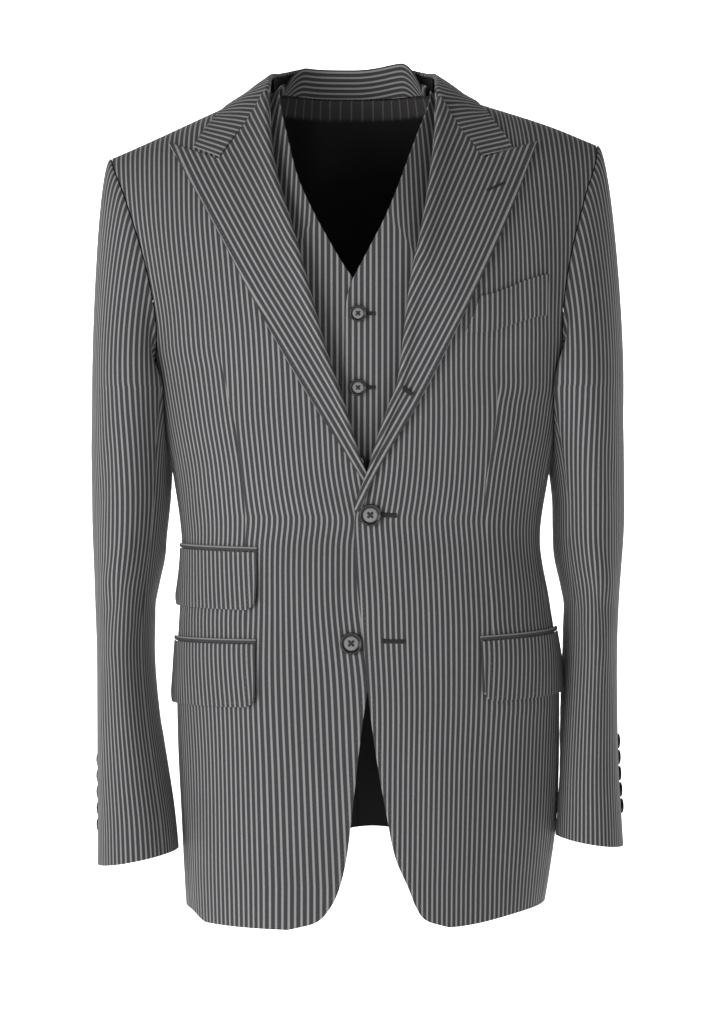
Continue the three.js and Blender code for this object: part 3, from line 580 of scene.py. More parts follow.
def back_relief(x, z):
    """Folds of the back, faded out towards the shoulder seam."""
    low = smooth((ridge(x) - 12 - z) / 50)
    return fold_heights(BACK_FOLDS, x, z) * low


def lap_lift(x, z, side):
    """The left front is lifted and the right one sunk by LAP near the fastening, and both come back to
    the ring away from it."""
    sign = SIGN[side]
    near = 1 - smooth((np.abs(x) - 25) / 60)
    return sign * LAP * near * smooth((-z - 250) / 80)


def on_front(x, z, height, side=None):
    """A point of the front by x and z, moved out by a height over the folds and the lap."""
    x, z = np.broadcast_arrays(np.asarray(x, float), np.asarray(z, float))
    base = on_ring(angle_of(x, z), z)
    extra = front_relief(x, z) + (lap_lift(x, z, side) if side else 0)
    return lifted(base, height + extra)


# ---------------------------------------------------------------------------------------------------
# Meshes
# ---------------------------------------------------------------------------------------------------


def make_object(name, points, faces, uv, slots, materials):
    """A mesh from points in millimetres and faces of four corners, or three where the last is -1."""
    mesh = bpy.data.meshes.new(name)
    faces = np.asarray(faces)
    sides = np.where(faces[:, 3] < 0, 3, 4)
    starts = np.concatenate([[0], np.cumsum(sides)[:-1]])
    corners = faces[faces >= 0]
    mesh.vertices.add(len(points))
    mesh.vertices.foreach_set("co", (np.asarray(points) * MM).astype(np.float32).ravel())
    mesh.loops.add(len(corners))
    mesh.loops.foreach_set("vertex_index", corners.astype(np.int32))
    mesh.polygons.add(len(faces))
    mesh.polygons.foreach_set("loop_start", starts.astype(np.int32))
    mesh.polygons.foreach_set("loop_total", sides.astype(np.int32))
    mesh.polygons.foreach_set("use_smooth", np.ones(len(faces), bool))
    if slots is not None:
        mesh.polygons.foreach_set("material_index", np.asarray(slots, np.int32))
    if uv is not None:
        layer = mesh.uv_layers.new(name="cloth")
        layer.data.foreach_set("uv", (uv[corners] * MM).astype(np.float32).ravel())
    mesh.update(calc_edges=True)
    mesh.validate()
    for material in materials:
        mesh.materials.append(material)
    made = bpy.data.objects.new(name, mesh)
    bpy.context.scene.collection.objects.link(made)
    return made


def grid_normals(p):
    """Unit normals of a grid of points: the cross product of its two central differences."""
    across = np.gradient(p, axis=1)
    down = np.gradient(p, axis=0)
    return unit(np.cross(across, down))


def quads(index):
    """The faces between the points of a grid of indices, one row after another."""
    a, b = index[:-1, :-1], index[:-1, 1:]
    c, d = index[1:, 1:], index[1:, :-1]
    return np.stack([a, d, c, b], axis=-1).reshape(-1, 4)


def border(rows, columns):
    """Places of a grid's border points in order: along the top, down, back along the bottom, up."""
    index = np.arange(rows * columns).reshape(rows, columns)
    return np.concatenate([index[0, :-1], index[:-1, -1], index[-1, :0:-1], index[:0:-1, 0]])


def wall(p, uv, thick, round_edge, outside):
    """A closed wall from its outer grid. The inner grid lies a thickness under it, and a rim of two
    quarter circles joins them. outside holds vectors that point to the outer side of the grid."""
    rows, columns = p.shape[:2]
    n = grid_normals(p)
    flipped = np.sum(n * outside) < 0
    n = -n if flipped else n
    flat, normals = p.reshape(-1, 3), n.reshape(-1, 3)
    ring = border(rows, columns)
    edge, up = flat[ring], normals[ring]
    side = unit(np.cross(unit(np.roll(edge, -1, axis=0) - np.roll(edge, 1, axis=0)), up))
    near_row = np.clip(ring // columns, 1, rows - 2)
    near_column = np.clip(ring % columns, 1, columns - 2)
    side *= -np.sign(put(np.sum(side * (p[near_row, near_column] - edge), axis=-1)))
    r = min(round_edge, thick / 2)
    turn = np.linspace(0, np.pi / 2, 4)
    out, down = r * np.sin(turn) - r, r * np.cos(turn) - r
    outs, downs = np.concatenate([out, out[::-1]]), np.concatenate([down, -thick - down[::-1]])
    loops = edge + side * outs[:, None, None] + up * downs[:, None, None]
    outer, under = flat.copy(), flat - normals * thick
    outer[ring], under[ring] = loops[0], loops[-1]
    size, around, between = rows * columns, len(ring), len(loops) - 2
    points = np.concatenate([outer, under, loops[1:-1].reshape(-1, 3)])
    steps = 2 * size + np.arange(between * around).reshape(between, around)
    chain = np.concatenate([ring[None], steps, ring[None] + size])
    chain = np.concatenate([chain, chain[:, :1]], axis=1)
    top, rim = quads(np.arange(size).reshape(rows, columns)), quads(chain)
    if flipped:
        rim = rim[:, ::-1]
    else:
        top = top[:, ::-1]
    faces = np.concatenate([top, top[:, ::-1] + size, rim])
    lined = np.repeat(np.arange(between + 1) > between // 2, around)
    slots = np.concatenate([np.zeros(len(top)), np.ones(len(top)), lined])
    spot = uv.reshape(-1, 2)
    uv = np.concatenate([spot, spot, np.tile(spot[ring], (between, 1))])
    return points, faces, uv, slots


def run(p, axis):
    """Distance run along one axis of a grid of points."""
    step = np.linalg.norm(np.diff(p, axis=axis), axis=-1)
    start = np.zeros_like(np.take(step, [0], axis=axis))
    return np.concatenate([start, np.cumsum(step, axis=axis)], axis=axis)


def cloth_uv(x, y):
    """Places in the flat cloth: x across the stripes and y along them."""
    return np.stack(np.broadcast_arrays(x, y), axis=-1)


FLATTEN_PASSES = 80


def flatten(p, most):
    """The flat cut of a grid of cloth, in the way of a tailor's pattern. A coarser grid of it, of at
    most these rows and columns, is cut into triangles that keep their shape as well as their
    neighbours let them: each pass turns every triangle to its best angle, then finds the points that
    fit all their edges by least squares."""
    at = [np.linspace(0, n - 1, min(n, m)).astype(int) for n, m in zip(p.shape, most)]
    coarse = p[at[0]][:, at[1]]
    arc, low = run(coarse, 1), run(coarse, 0)
    flat = cloth_uv(arc - arc[:, arc.shape[1] // 2, None], low).reshape(-1, 2)
    index = np.arange(len(flat)).reshape(coarse.shape[:2])
    a, b, c, d = index[:-1, :-1], index[:-1, 1:], index[1:, 1:], index[1:, :-1]
    corners = ((a, b, c), (a, c, d), (a, b, d), (b, c, d))
    corners = np.concatenate([np.stack(trio, axis=-1).reshape(-1, 3) for trio in corners])
    q = coarse.reshape(-1, 3)[corners]
    one, two = q[:, 1] - q[:, 0], q[:, 2] - q[:, 0]
    long = np.linalg.norm(one, axis=-1)
    own = np.zeros((len(q), 3, 2))
    own[:, 1, 0] = long
    own[:, 2, 0] = np.sum(one * two, axis=-1) / long
    own[:, 2, 1] = np.linalg.norm(np.cross(one, two), axis=-1) / long
    start, end = corners, np.roll(corners, -1, axis=1)
    edge = own - np.roll(own, -1, axis=1)
    system = np.zeros((len(flat), len(flat)))
    for i, j, add in ((start, start, 1), (end, end, 1), (start, end, -1), (end, start, -1)):
        np.add.at(system, (i, j), add)
    system[0, 0] += 1
    solve = np.linalg.inv(system)
    for _ in range(FLATTEN_PASSES):
        now = flat[start] - flat[end]
        sine = np.sum(edge[..., 0] * now[..., 1] - edge[..., 1] * now[..., 0], axis=1)
        angle = np.arctan2(sine, np.sum(edge * now, axis=(1, 2)))[:, None]
        fit = cloth_uv(
            edge[..., 0] * np.cos(angle) - edge[..., 1] * np.sin(angle),
            edge[..., 0] * np.sin(angle) + edge[..., 1] * np.cos(angle),
        )
        pull = np.zeros_like(flat)
        np.add.at(pull, start, fit)
        np.add.at(pull, end, -fit)
        flat = solve @ pull
    flat = flat.reshape(*coarse.shape[:2], 2)
    flat = cubic(at[0].astype(float), flat, slopes(at[0], flat), np.arange(p.shape[0]))
    flat = np.swapaxes(flat, 0, 1)
    flat = cubic(at[1].astype(float), flat, slopes(at[1], flat), np.arange(p.shape[1]))
    return np.swapaxes(flat, 0, 1)


def hung_straight(uv, top, low):
    """A flat cut turned so that the grain runs from its point top to its point low, where x is 0."""
    way = uv[low] - uv[top]
    way = way / np.linalg.norm(way)
    off = uv - uv[top]
    return cloth_uv(off[..., 0] * way[1] - off[..., 1] * way[0], np.sum(off * way, axis=-1))


def cloth(name, p, uv, thick, materials, outside, round_edge=0.35, faced=None):
    """One sheet of cloth: its wall, which takes the place of the solid it stands for, now hidden. faced
    marks the cells whose inner side shows the outer cloth."""
    points, faces, uv_all, slots = wall(p, uv, thick, round_edge, outside)
    if faced is not None:
        cells = faced.size
        slots[cells : 2 * cells][faced.ravel()] = 0
    piece = make_object(name, points, faces, uv_all, slots, materials)
    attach(piece, "root")
    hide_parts(name)


def capped(rings, poles):
    """Points and faces of a stack of rings, closed by a fan of triangles to a pole at each end."""
    count, sides = rings.shape[:2]
    index = np.arange(count * sides).reshape(count, sides)
    index = np.concatenate([index, index[:, :1]], axis=1)
    points = np.concatenate([rings.reshape(-1, 3), poles])
    low, high, none = (np.full(sides, k) for k in (len(points) - 2, len(points) - 1, -1))
    caps = [
        np.stack([low, index[0, 1:], index[0, :-1], none], axis=-1),
        np.stack([high, index[-1, :-1], index[-1, 1:], none], axis=-1),
    ]
    return points, np.concatenate([quads(index)[:, ::-1], *caps])


def tube(path, radius, sides, up):
    """A tube round a path: circles of one radius, square to it, and a flat cap at each end."""
    along = unit(np.gradient(path, axis=0))
    side = unit(np.cross(along, up))
    top = np.cross(side, along)
    turn = np.linspace(0, 2 * np.pi, sides, endpoint=False)
    circle = put(np.cos(turn)) * side[:, None] + put(np.sin(turn)) * top[:, None]
    return capped(path[:, None] + circle * radius, path[[0, -1]])


def join(parts):
    """Points and faces of several meshes as one."""
    points, faces, start = [], [], 0
    for p, f in parts:
        points.append(p)
        faces.append(np.where(f >= 0, f + start, -1))
        start += len(p)
    return np.concatenate(points), np.concatenate(faces)


def revolve(profile, sides):
    """A profile of (radius, height) points turned round the Z axis: x = radius * cos and
    y = radius * sin of each angle. Its first and last points are the poles."""
    profile = np.asarray(profile, float)
    turn = np.linspace(0, 2 * np.pi, sides, endpoint=False)
    radius, height = profile[1:-1, :1], profile[1:-1, 1:2]
    rings = xyz(radius * np.cos(turn), radius * np.sin(turn), height)
    return capped(rings, np.array([[0, 0, profile[0, 1]], [0, 0, profile[-1, 1]]]))


def stand_on(points, foot, normal):
    """Points turned so that +Z becomes the normal, +X stays level, and moved to the foot."""
    normal = unit(np.asarray(normal, float))
    across = unit(np.cross(np.array([0, 0, 1.0]), normal))
    upward = np.cross(normal, across)
    return points @ np.stack([across, upward, normal]) + foot


# ---------------------------------------------------------------------------------------------------
# Materials
# ---------------------------------------------------------------------------------------------------

PITCH = 4.9 * MM  # from stripe to stripe


class Nodes:
    """A short way to add nodes to a tree and join their sockets."""

    def __init__(self, tree):
        self.tree = tree

    def give(self, node, inputs):
        """Joins a node's inputs to sockets, or sets them to values."""
        for key, value in inputs.items():
            if isinstance(value, bpy.types.NodeSocket):
                self.tree.links.new(value, node.inputs[key])
            else:
                node.inputs[key].default_value = value

    def __call__(self, kind, inputs=None, **settings):
        """A new node of a kind, with its settings and inputs."""
        node = self.tree.nodes.new("ShaderNode" + kind)
        for key, value in settings.items():
            setattr(node, key, value)
        self.give(node, inputs or {})
        return node

    def math(self, operation, a, b=0.0, c=0.0):
        """One sum or function of up to three values."""
        return self("Math", {0: a, 1: b, 2: c}, operation=operation).outputs[0]

    def mix(self, share, a, b, blend="MIX"):
        """Two colours mixed by a share."""
        node = self("Mix", {0: share, 6: a, 7: b}, data_type="RGBA", blend_type=blend)
        return node.outputs[2]

    def shaded(self, colour, shade):
        """The colour times one number."""
        grey = self("CombineColor", {0: shade, 1: shade, 2: shade}).outputs[0]
        return self.mix(1.0, colour, grey, "MULTIPLY")

    def band(self, value, low, high, to_low=0.0, to_high=1.0):
        """The value mapped from low..high to to_low..to_high with a smooth step."""
        inputs = {0: value, 1: low, 2: high, 3: to_low, 4: to_high}
        return self("MapRange", inputs, interpolation_type="SMOOTHSTEP").outputs[0]

    def noise(self, vector, scale, detail=2.0, rough=0.5):
        """Soft noise from 0 to 1."""
        inputs = {"Vector": vector, "Scale": scale, "Detail": detail, "Roughness": rough}
        return self("TexNoise", inputs).outputs["Fac"]

    def bump(self, height, strength, depth):
        """The normal of a surface with this relief: a height of 1 is the depth, in metres."""
        inputs = {"Height": height, "Strength": strength, "Distance": depth}
        return self("Bump", inputs).outputs[0]

    def cloth_place(self):
        """The place in the flat cloth, in metres: x across the stripes and y along them."""
        return self("UVMap", uv_map="cloth").outputs[0]

    def spot(self):
        """The place on the object, in metres."""
        return self("TexCoord").outputs["Object"]


def node_group(name, sockets_in, sockets_out):
    """An empty shader group with named sockets, each a (name, kind) pair, and its two end nodes."""
    tree = bpy.data.node_groups.new(name, "ShaderNodeTree")
    for label, kind in sockets_in:
        tree.interface.new_socket(label, in_out="INPUT", socket_type="NodeSocket" + kind)
    for label, kind in sockets_out:
        tree.interface.new_socket(label, in_out="OUTPUT", socket_type="NodeSocket" + kind)
    return tree, tree.nodes.new("NodeGroupInput"), tree.nodes.new("NodeGroupOutput")


def twill_group():
    """Worsted twill: fine diagonal ribs, and slubs that run along the threads. Takes the place in the
    cloth, and gives a shade near 1 and a height from 0 to 1."""
    sockets_in = [("Cloth", "Vector"), ("Rib", "Float")]
    sockets_out = [("Shade", "Float"), ("Height", "Float")]
    tree, given, made = node_group("worsted twill", sockets_in, sockets_out)
    n = Nodes(tree)
    place = given.outputs["Cloth"]
    split = n("SeparateXYZ", {0: place})
    x, y = split.outputs[0], split.outputs[1]
    diagonal = n.math("MULTIPLY_ADD", y, 0.7, x)
    turns = n.math("DIVIDE", n.math("MULTIPLY", diagonal, 2 * math.pi), given.outputs["Rib"])
    ribs = n.math("MULTIPLY_ADD", n.math("SINE", turns), 0.5, 0.5)
    threads = n("VectorMath", {0: place, 1: (2600.0, 260.0, 0.0)}, operation="MULTIPLY")
    slub = n.noise(threads.outputs[0], 1.0, 2.0)
    heather = n.noise(place, 900.0, 1.0)
    shade = n.math("ADD", n.math("MULTIPLY", slub, 0.34), n.math("MULTIPLY", heather, 0.22))
    shade = n.math("ADD", shade, n.math("MULTIPLY_ADD", ribs, 0.12, 0.66))
    tree.links.new(shade, made.inputs["Shade"])
    height = n.math("MULTIPLY_ADD", ribs, 0.6, n.math("MULTIPLY", slub, 0.4))
    tree.links.new(height, made.inputs["Height"])
    return tree


def stripe_group():
    """Stripes that run along the cloth: a mask that is 1 in the middle of each stripe. Takes the place
    in the cloth, the pitch, and the stripe's half width as a share of the pitch."""
    sockets = [("Cloth", "Vector"), ("Pitch", "Float"), ("Half", "Float")]
    tree, given, made = node_group("cloth stripes", sockets, [("Mask", "Float")])
    n = Nodes(tree)
    split = n("SeparateXYZ", {0: given.outputs["Cloth"]})
    turns = n.math("DIVIDE", split.outputs[0], given.outputs["Pitch"])
    wander = n.noise(given.outputs["Cloth"], 700.0, 1.0)
    turns = n.math("ADD", turns, n.math("MULTIPLY_ADD", wander, 0.06, -0.03))
    off = n.math("ABSOLUTE", n.math("SUBTRACT", n.math("FRACT", turns), 0.5))
    low = n.math("SUBTRACT", given.outputs["Half"], 0.05)
    high = n.math("ADD", given.outputs["Half"], 0.07)
    mask = n.band(off, low, high, 1.0, 0.0)
    tree.links.new(mask, made.inputs["Mask"])
    return tree


TWILL, STRIPES = twill_group(), stripe_group()


def new_material(name):
    """A material, its nodes and its shader."""
    material = bpy.data.materials.new(name)
    material.use_nodes = True
    n = Nodes(material.node_tree)
    return material, n, material.node_tree.nodes["Principled BSDF"]


def striped_wool():
    """Dark grey worsted with close light stripes."""
    material, n, shader = new_material("striped_wool")
    place = n.cloth_place()
    mask = n("Group", {"Cloth": place, "Pitch": PITCH, "Half": 0.165}, node_tree=STRIPES).outputs[0]
    twill = n("Group", {"Cloth": place, "Rib": 0.0009}, node_tree=TWILL)
    broad = n.noise(n.spot(), 9.0, 3.0)
    shade = n.math("MULTIPLY", twill.outputs["Shade"], n.band(broad, 0.3, 0.7, 0.95, 1.05))
    colour = n.mix(mask, (0.05, 0.05, 0.053, 1), (0.3, 0.3, 0.303, 1))
    height = n.math("MULTIPLY_ADD", mask, 0.5, twill.outputs["Height"])
    inputs = {
        "Base Color": n.shaded(colour, shade),
        "Normal": n.bump(height, 0.35, 0.00018),
        "Roughness": n.band(broad, 0.3, 0.7, 0.82, 0.9),
        "Specular IOR Level": 0.25,
        "Sheen Weight": 0.12,
        "Sheen Roughness": 0.45,
    }
    n.give(shader, inputs)
    return material


def lining(name, ground, top=None):
    """Black satin. Where it has a top, the cloth above that height is painted greyer and shows thin
    stripes, painted light as where the light falls on it; below that height the stripes are left out
    and it stays near black, as in shade.
    """
    material, n, shader = new_material(name)
    place = n.cloth_place()
    twill = n("Group", {"Cloth": place, "Rib": 0.0006}, node_tree=TWILL)
    if top is not None:
        # Painted light: above the top the ground is painted greyer and the thin stripes are shown, as
        # where the light falls; below it they are left out, as in shade.
        high = n("SeparateXYZ", {0: n.spot()}).outputs[2]
        near = n.band(high, top * MM, (top + 5) * MM)
        ground = n.mix(near, ground, (0.05, 0.046, 0.047, 1))
        inputs = {"Cloth": place, "Pitch": 2.1 * PITCH, "Half": 0.05}
        mask = n.math("MULTIPLY", n("Group", inputs, node_tree=STRIPES).outputs[0], near)
        ground = n.mix(mask, ground, (0.14, 0.135, 0.135, 1))
    inputs = {
        "Base Color": n.shaded(ground, twill.outputs["Shade"]),
        "Normal": n.bump(twill.outputs["Height"], 0.2, 0.0001),
        "Roughness": 0.5,
        "Specular IOR Level": 0.18,
        "Sheen Weight": 0.05,
    }
    n.give(shader, inputs)
    return material


def horn():
    """Polished dark horn, streaked in near black. The cloth place holds a painted highlight, which
    paints the rim and the face paler where they would reflect the light, and painted shade, which
    darkens the groove; both come from the button's profile."""
    material, n, shader = new_material("dark_horn")
    spot = n.spot()
    streaks = n("VectorMath", {0: spot, 1: (260.0, 420.0, 90.0)}, operation="MULTIPLY").outputs[0]
    wave = n.noise(streaks, 1.0, 4.0, 0.6)
    colour = n.mix(n.band(wave, 0.35, 0.68), (0.004, 0.0038, 0.004, 1), (0.02, 0.019, 0.02, 1))
    face = n("SeparateXYZ", {0: n.cloth_place()})
    # Painted highlight: the face and the rim are painted paler, as the light's reflection on polished
    # horn.
    colour = n.mix(n.band(face.outputs[0], 0.1 * MM, 1.0 * MM), colour, (0.24, 0.238, 0.24, 1))
    # Painted shade: the groove is painted near black.
    colour = n.mix(n.band(face.outputs[1], 0.05 * MM, 0.9 * MM), colour, (0.004, 0.004, 0.004, 1))
    inputs = {
        "Base Color": colour,
        "Normal": n.bump(n.noise(spot, 2500.0, 2.0), 0.06, 0.0002),
        "Roughness": n.band(wave, 0.3, 0.7, 0.22, 0.36),
        "Specular IOR Level": 0.3,
        "Coat Weight": 0.4,
        "Coat Roughness": 0.08,
    }
    n.give(shader, inputs)
    return material


def thread(name, colour):
    """Twisted silk thread."""
    material, n, shader = new_material(name)
    ply = n.noise(n.spot(), 2400.0, 2.0)
    dark = tuple(0.55 * c for c in colour)
    inputs = {
        "Base Color": n.mix(n.band(ply, 0.35, 0.65), (*dark, 1), (*colour, 1)),
        "Normal": n.bump(ply, 0.4, 0.0002),
        "Roughness": 0.6,
        "Sheen Weight": 0.1,
    }
    n.give(shader, inputs)
    return material


WOOL = striped_wool()
LINING = lining("lining_satin", (0.0035, 0.0033, 0.0035, 1))
# Painted light: this lining is painted greyer and striped above z -12 mm, as where the light falls, and
# left near black below, as in shade.
VEST_LINING = lining("vest_lining_satin", (0.008, 0.0075, 0.008, 1), -12)
HORN = horn()
DARK_THREAD = thread("dark_thread", (0.012, 0.012, 0.013))
GREY_THREAD = thread("grey_thread", (0.19, 0.19, 0.195))
JACKET_CLOTH, VEST_CLOTH, VEST_SATIN = (WOOL, LINING), (WOOL, VEST_LINING), (VEST_LINING, VEST_LINING)

# ---------------------------------------------------------------------------------------------------
# Jacket body
# ---------------------------------------------------------------------------------------------------

ROW_POWER, HEM_POWER = 1.7, 1.35  # how the rows crowd towards the shoulder seam and the hem
GAP_DEGREES = 0.1  # half a seam's gap
CENTRE_LAP = 0.1  # degrees that each half of the back runs past its centre seam
FACED = 80  # width inside a front's edge that shows the outer cloth on both sides


def low_share(t):
    """Shares below the armpit, closer together towards the hem."""
    return 1 - (1 - t) ** HEM_POWER


def row_height(x, v, top, hem, above, armpit=ARMPIT, power=ROW_POWER):
    """Along the shoulder seam at v 0, level at the armpit, and along the hem at v 1."""
    high = lerp(top(x), armpit, np.clip(v / above, 0, 1) ** power)
    low = lerp(armpit, hem(x), low_share(np.clip((v - above) / (1 - above), 0, 1)))
    return np.where(v <= above, high, low)


def row_places(u, v, start, end, **rows):
    """The angle and height at share u of row v, between two edges that are functions of the height.
    Each pass takes the height at the last pass's x."""
    z = np.full(v.shape, float(ARMPIT))
    for _ in range(12):
        degrees = lerp(start(z), end(z), u(z) if callable(u) else u)
        z = row_height(on_ring(degrees, z)[..., 0], v, **rows)
    return degrees, z


def row_shares(upper, lower):
    """Shares down a panel, even above the armpit and below it, and the share of the armpit."""
    above = upper / (upper + lower)
    high, low = np.linspace(0, above, upper + 1), np.linspace(above, 1, lower + 1)
    return above, np.concatenate([[0, 0.15 * high[1]], high[1:], low[1:]])


DART_SHARE = 0.6  # where the dart is among the shares across a front's grid


def front_edge(side, z):
    """x of a front's edge at a height. The table is for the longer front, and is stretched to each."""
    return FRONT_EDGE(side, z * LONGEST / -HEM[side])


def jacket_front(side):
    """Half of the front, from its edge to the armhole and the side panel's seam."""
    above, down = row_shares(90, 118)
    beside_dart = DART_SHARE + np.array([-2.6, -1.3, -0.6, -0.05, 0.05, 0.6, 1.3, 2.6]) / 170
    inner, outer = np.linspace(0, beside_dart[0], 26), np.linspace(beside_dart[-1], 1, 18)
    across = np.concatenate([[0, 0.008], inner[1:-1], beside_dart, outer[1:-1], [0.992, 1]])
    w, v = grid(across, down)

    def start(z):
        """Angle of the front edge."""
        return angle_of(front_edge(side, z), z)

    def end(z):
        """Angle of the armhole, and below the armpit of the side panel's seam."""
        return sided(side, np.where(z > ARMPIT, ARMHOLE("front", z), SIDE_FRONT) + GAP_DEGREES)

    def share(z):
        """Share across, even from the edge to the dart and again beyond it."""
        dart = (angle_of(DART[side]("x", z), z) - start(z)) / (end(z) - start(z))
        beyond = (w - DART_SHARE) / (1 - DART_SHARE)
        return np.where(w < DART_SHARE, w / DART_SHARE * dart, lerp(dart, 1, beyond))

    def hem(x):
        """The hem, which rises to the side by a smooth step."""
        start, over = HEM_TURN[side]
        return lerp(HEM[side], SIDE_HEM[side], smooth((np.abs(x) - start) / over))

    degrees, z = row_places(share, v, start, end, top=ridge, hem=hem, above=above)
    base = on_ring(degrees, z)
    x = base[..., 0]
    p = lifted(base, lap_lift(x, z, side) + front_relief(x, z) + dart_dip(x, z, side))
    uv = cloth_uv(front_grain(x, z, side), run(p, 0))
    faced = np.abs(x - x[:, :1])[:-1, :-1] < FACED
    cloth(f"jacket_front_{side}", p, uv, CLOTH, JACKET_CLOTH, outward(base), faced=faced)


def jacket_side(side):
    """The narrow panel under the arm."""
    down = np.concatenate([[0, 0.0022], np.linspace(0, 1, 119)[1:]])
    u, v = grid(shares(112, CELL), down)
    hem = lerp(SIDE_HEM[side], BACK_HEM_SIDE, smooth(2 * u - 1))
    z = lerp(ARMPIT, hem, low_share(v)) - (SEAM + 6 * np.sin(np.pi * u)) * (1 - v) ** 4
    degrees = sided(side, lerp(SIDE_FRONT - GAP_DEGREES, SIDE_BACK + GAP_DEGREES, u))
    base = on_ring(degrees, z)
    waves = 0.8 * np.sin(z / 62 + 3 * u) + 0.5 * np.sin(7 * u - z / 150)
    p = lifted(base, waves * np.sin(np.pi * u) ** 2 * smooth(v / 0.1))
    middle = p.shape[1] // 2
    uv = hung_straight(flatten(p, (30, 7)), (30, middle), (-1, middle))
    cloth(f"jacket_side_{side}", p, uv, CLOTH, JACKET_CLOTH, outward(base))


def jacket_back(side):
    """Half of the back, from the centre seam to the armhole and the side panel's seam."""
    sign = SIGN[side]
    above, down = row_shares(80, 106)
    u, v = grid(shares(172, CELL), down)

    def end(z):
        """Angle of the armhole, and below the armpit of the side panel's seam."""
        outer = np.where(z > ARMPIT, -ARMHOLE("back", z), SIDE_BACK) - GAP_DEGREES
        return sided(side, outer) + (360 if side == "left" else 0)

    def top(x):
        """The shoulder seam, cut off level under the collar."""
        return np.minimum(ridge(x), BACK_NECK)

    def hem(x):
        """The hem, which falls to each side by a smooth step."""
        return lerp(BACK_HEM_CENTRE, BACK_HEM_SIDE, smooth(np.abs(x - BACK_HEM_X) / BACK_HEM_REACH))

    centre = 270 - sign * CENTRE_LAP
    degrees, z = row_places(u, v, lambda z: centre, end, top=top, hem=hem, above=above)
    base = on_ring(degrees, z)
    p = lifted(base, back_relief(base[..., 0], z))
    uv = cloth_uv(across_body(base[..., 0], z, "back"), run(p, 0))
    cloth(f"jacket_back_{side}", p, uv, CLOTH, JACKET_CLOTH, outward(base))


# ---------------------------------------------------------------------------------------------------
# Lapels and collar
# ---------------------------------------------------------------------------------------------------

ROLL_HEIGHT, ROLL_REACH = 3.2, 0.16  # swell of the lapel at its roll, over this share of its width
NOTCH_SHARE = 0.46  # of the lapel's top, from the gorge to the notch
LAPEL_FOLD = 1.6  # the fold stands past the edge of the front under it
LAPEL_THICK, COLLAR_THICK, STAND_THICK = 1.6, 1.6, 1.44
LAPEL_TURN, COLLAR_TURN = np.radians(142), np.radians(150)  # how far round each rolls over its fold


def rolled(start, toward, normal, length, turn, k):
    """Cloth that goes on from a row of points and rolls over: a share k of an arc that leaves in one
    direction and turns away from the normal, by radius * (sin * toward - (1 - cos) * normal)."""
    radius = put(length / np.maximum(turn, 0.02))
    angle = put(np.maximum(turn, 0.02) * k)
    return start + radius * (np.sin(angle) * toward - (1 - np.cos(angle)) * normal)


def lapel_place(side, u, v):
    """x and z of the lapel: from its roll line at u 0 to its outer edge at u 1, up from the lowest
    point at v 0 to the gorge, the notch and the peak at v 1."""
    edge_x, edge_z = LAPEL_EDGE(f"{side}_x", v), LAPEL_EDGE(f"{side}_z", v)
    peak_x, peak_z = LAPEL_EDGE(f"{side}_x", 1), LAPEL_EDGE(f"{side}_z", 1)
    gorge_x, gorge_z = GORGE_TOP[side]
    notch_x, notch_z = NOTCH[side]
    t = np.clip(u / NOTCH_SHARE, 0, 1)
    s = np.clip((u - NOTCH_SHARE) / (1 - NOTCH_SHARE), 0, 1)
    top_x = np.where(u < NOTCH_SHARE, lerp(gorge_x, notch_x, t), lerp(notch_x, peak_x, s))
    top_z = np.where(u < NOTCH_SHARE, lerp(gorge_z, notch_z, t), lerp(notch_z, peak_z, s))
    roll_z = lerp(LAPEL_EDGE(f"{side}_z", 0), gorge_z, v)
    roll_x = front_edge(side, roll_z)
    turned = smooth((v - 0.55) / 0.45)
    x = lerp(roll_x, edge_x, u) + turned * (top_x - lerp(gorge_x, peak_x, u))
    z = lerp(roll_z, edge_z, u) + turned * (top_z - lerp(gorge_z, peak_z, u))
    return x, z


def lapel_point(side, u, v, above=0.0):
    """The lapel's outer face. It comes out of the front at its lowest point, and swells at the roll."""
    sign = SIGN[side]
    swell = ROLL_HEIGHT * np.exp(-((u / ROLL_REACH) ** 2)) * smooth(v / 0.2)
    height = lerp(0.1, CLOTH + LAY, smooth(v / 0.07)) + 0.5 * u + swell
    x, z = lapel_place(side, u, v)
    fold = (roll_radius(v) - LAPEL_FOLD - 0.4) * (1 - u)
    low = LAP * smooth((1 - v) / 0.3) if side == "left" else 0
    return on_front(x + sign * fold, z - 2.5 * (1 - v) * u, height + low + above)


def roll_radius(v):
    """Half of the height from the underside of the front to the top of the roll."""
    return (lerp(0.1, CLOTH + LAY, smooth(v / 0.07)) + ROLL_HEIGHT * smooth(v / 0.2) + CLOTH) / 2


def lapel(side):
    """One lapel: the part that lies on the chest, and the soft roll that turns under at its fold."""
    down = 1 - shares(330, CELL) * 0.996
    flat_u = np.concatenate([np.linspace(0, 1, 28)[:-1], [0.986, 1]])
    u, v = grid(flat_u, down)
    flat = lapel_point(side, u, v)
    normal = grid_normals(flat)
    normal *= np.sign(put(np.sum(normal * outward(flat), axis=-1)))
    start, n = flat[:, :1], normal[:, :1]
    toward = unit(flat[:, :1] - flat[:, 1:2])
    k = np.linspace(1, 0, 12)[None, :-1]
    turn = LAPEL_TURN * np.ones_like(down)[:, None]
    length = roll_radius(down)[:, None] * turn
    roll = rolled(start, toward, n, length, turn, k)
    p = np.concatenate([roll, flat], axis=1)
    cut = hung_straight(flatten(flat, (30, 12)), (10, -1), (-12, -1))
    on = unit(cut[:, :1] - cut[:, 1:2]) * put(length * (k + 0.02))
    uv = np.concatenate([cut[:, :1] + on, cut], axis=1)
    outside = np.concatenate([np.zeros_like(roll), outward(flat)], axis=1)
    name = f"jacket_lapel_{side}"
    cloth(name, p, uv, LAPEL_THICK, (WOOL, WOOL), outside, round_edge=0.7)


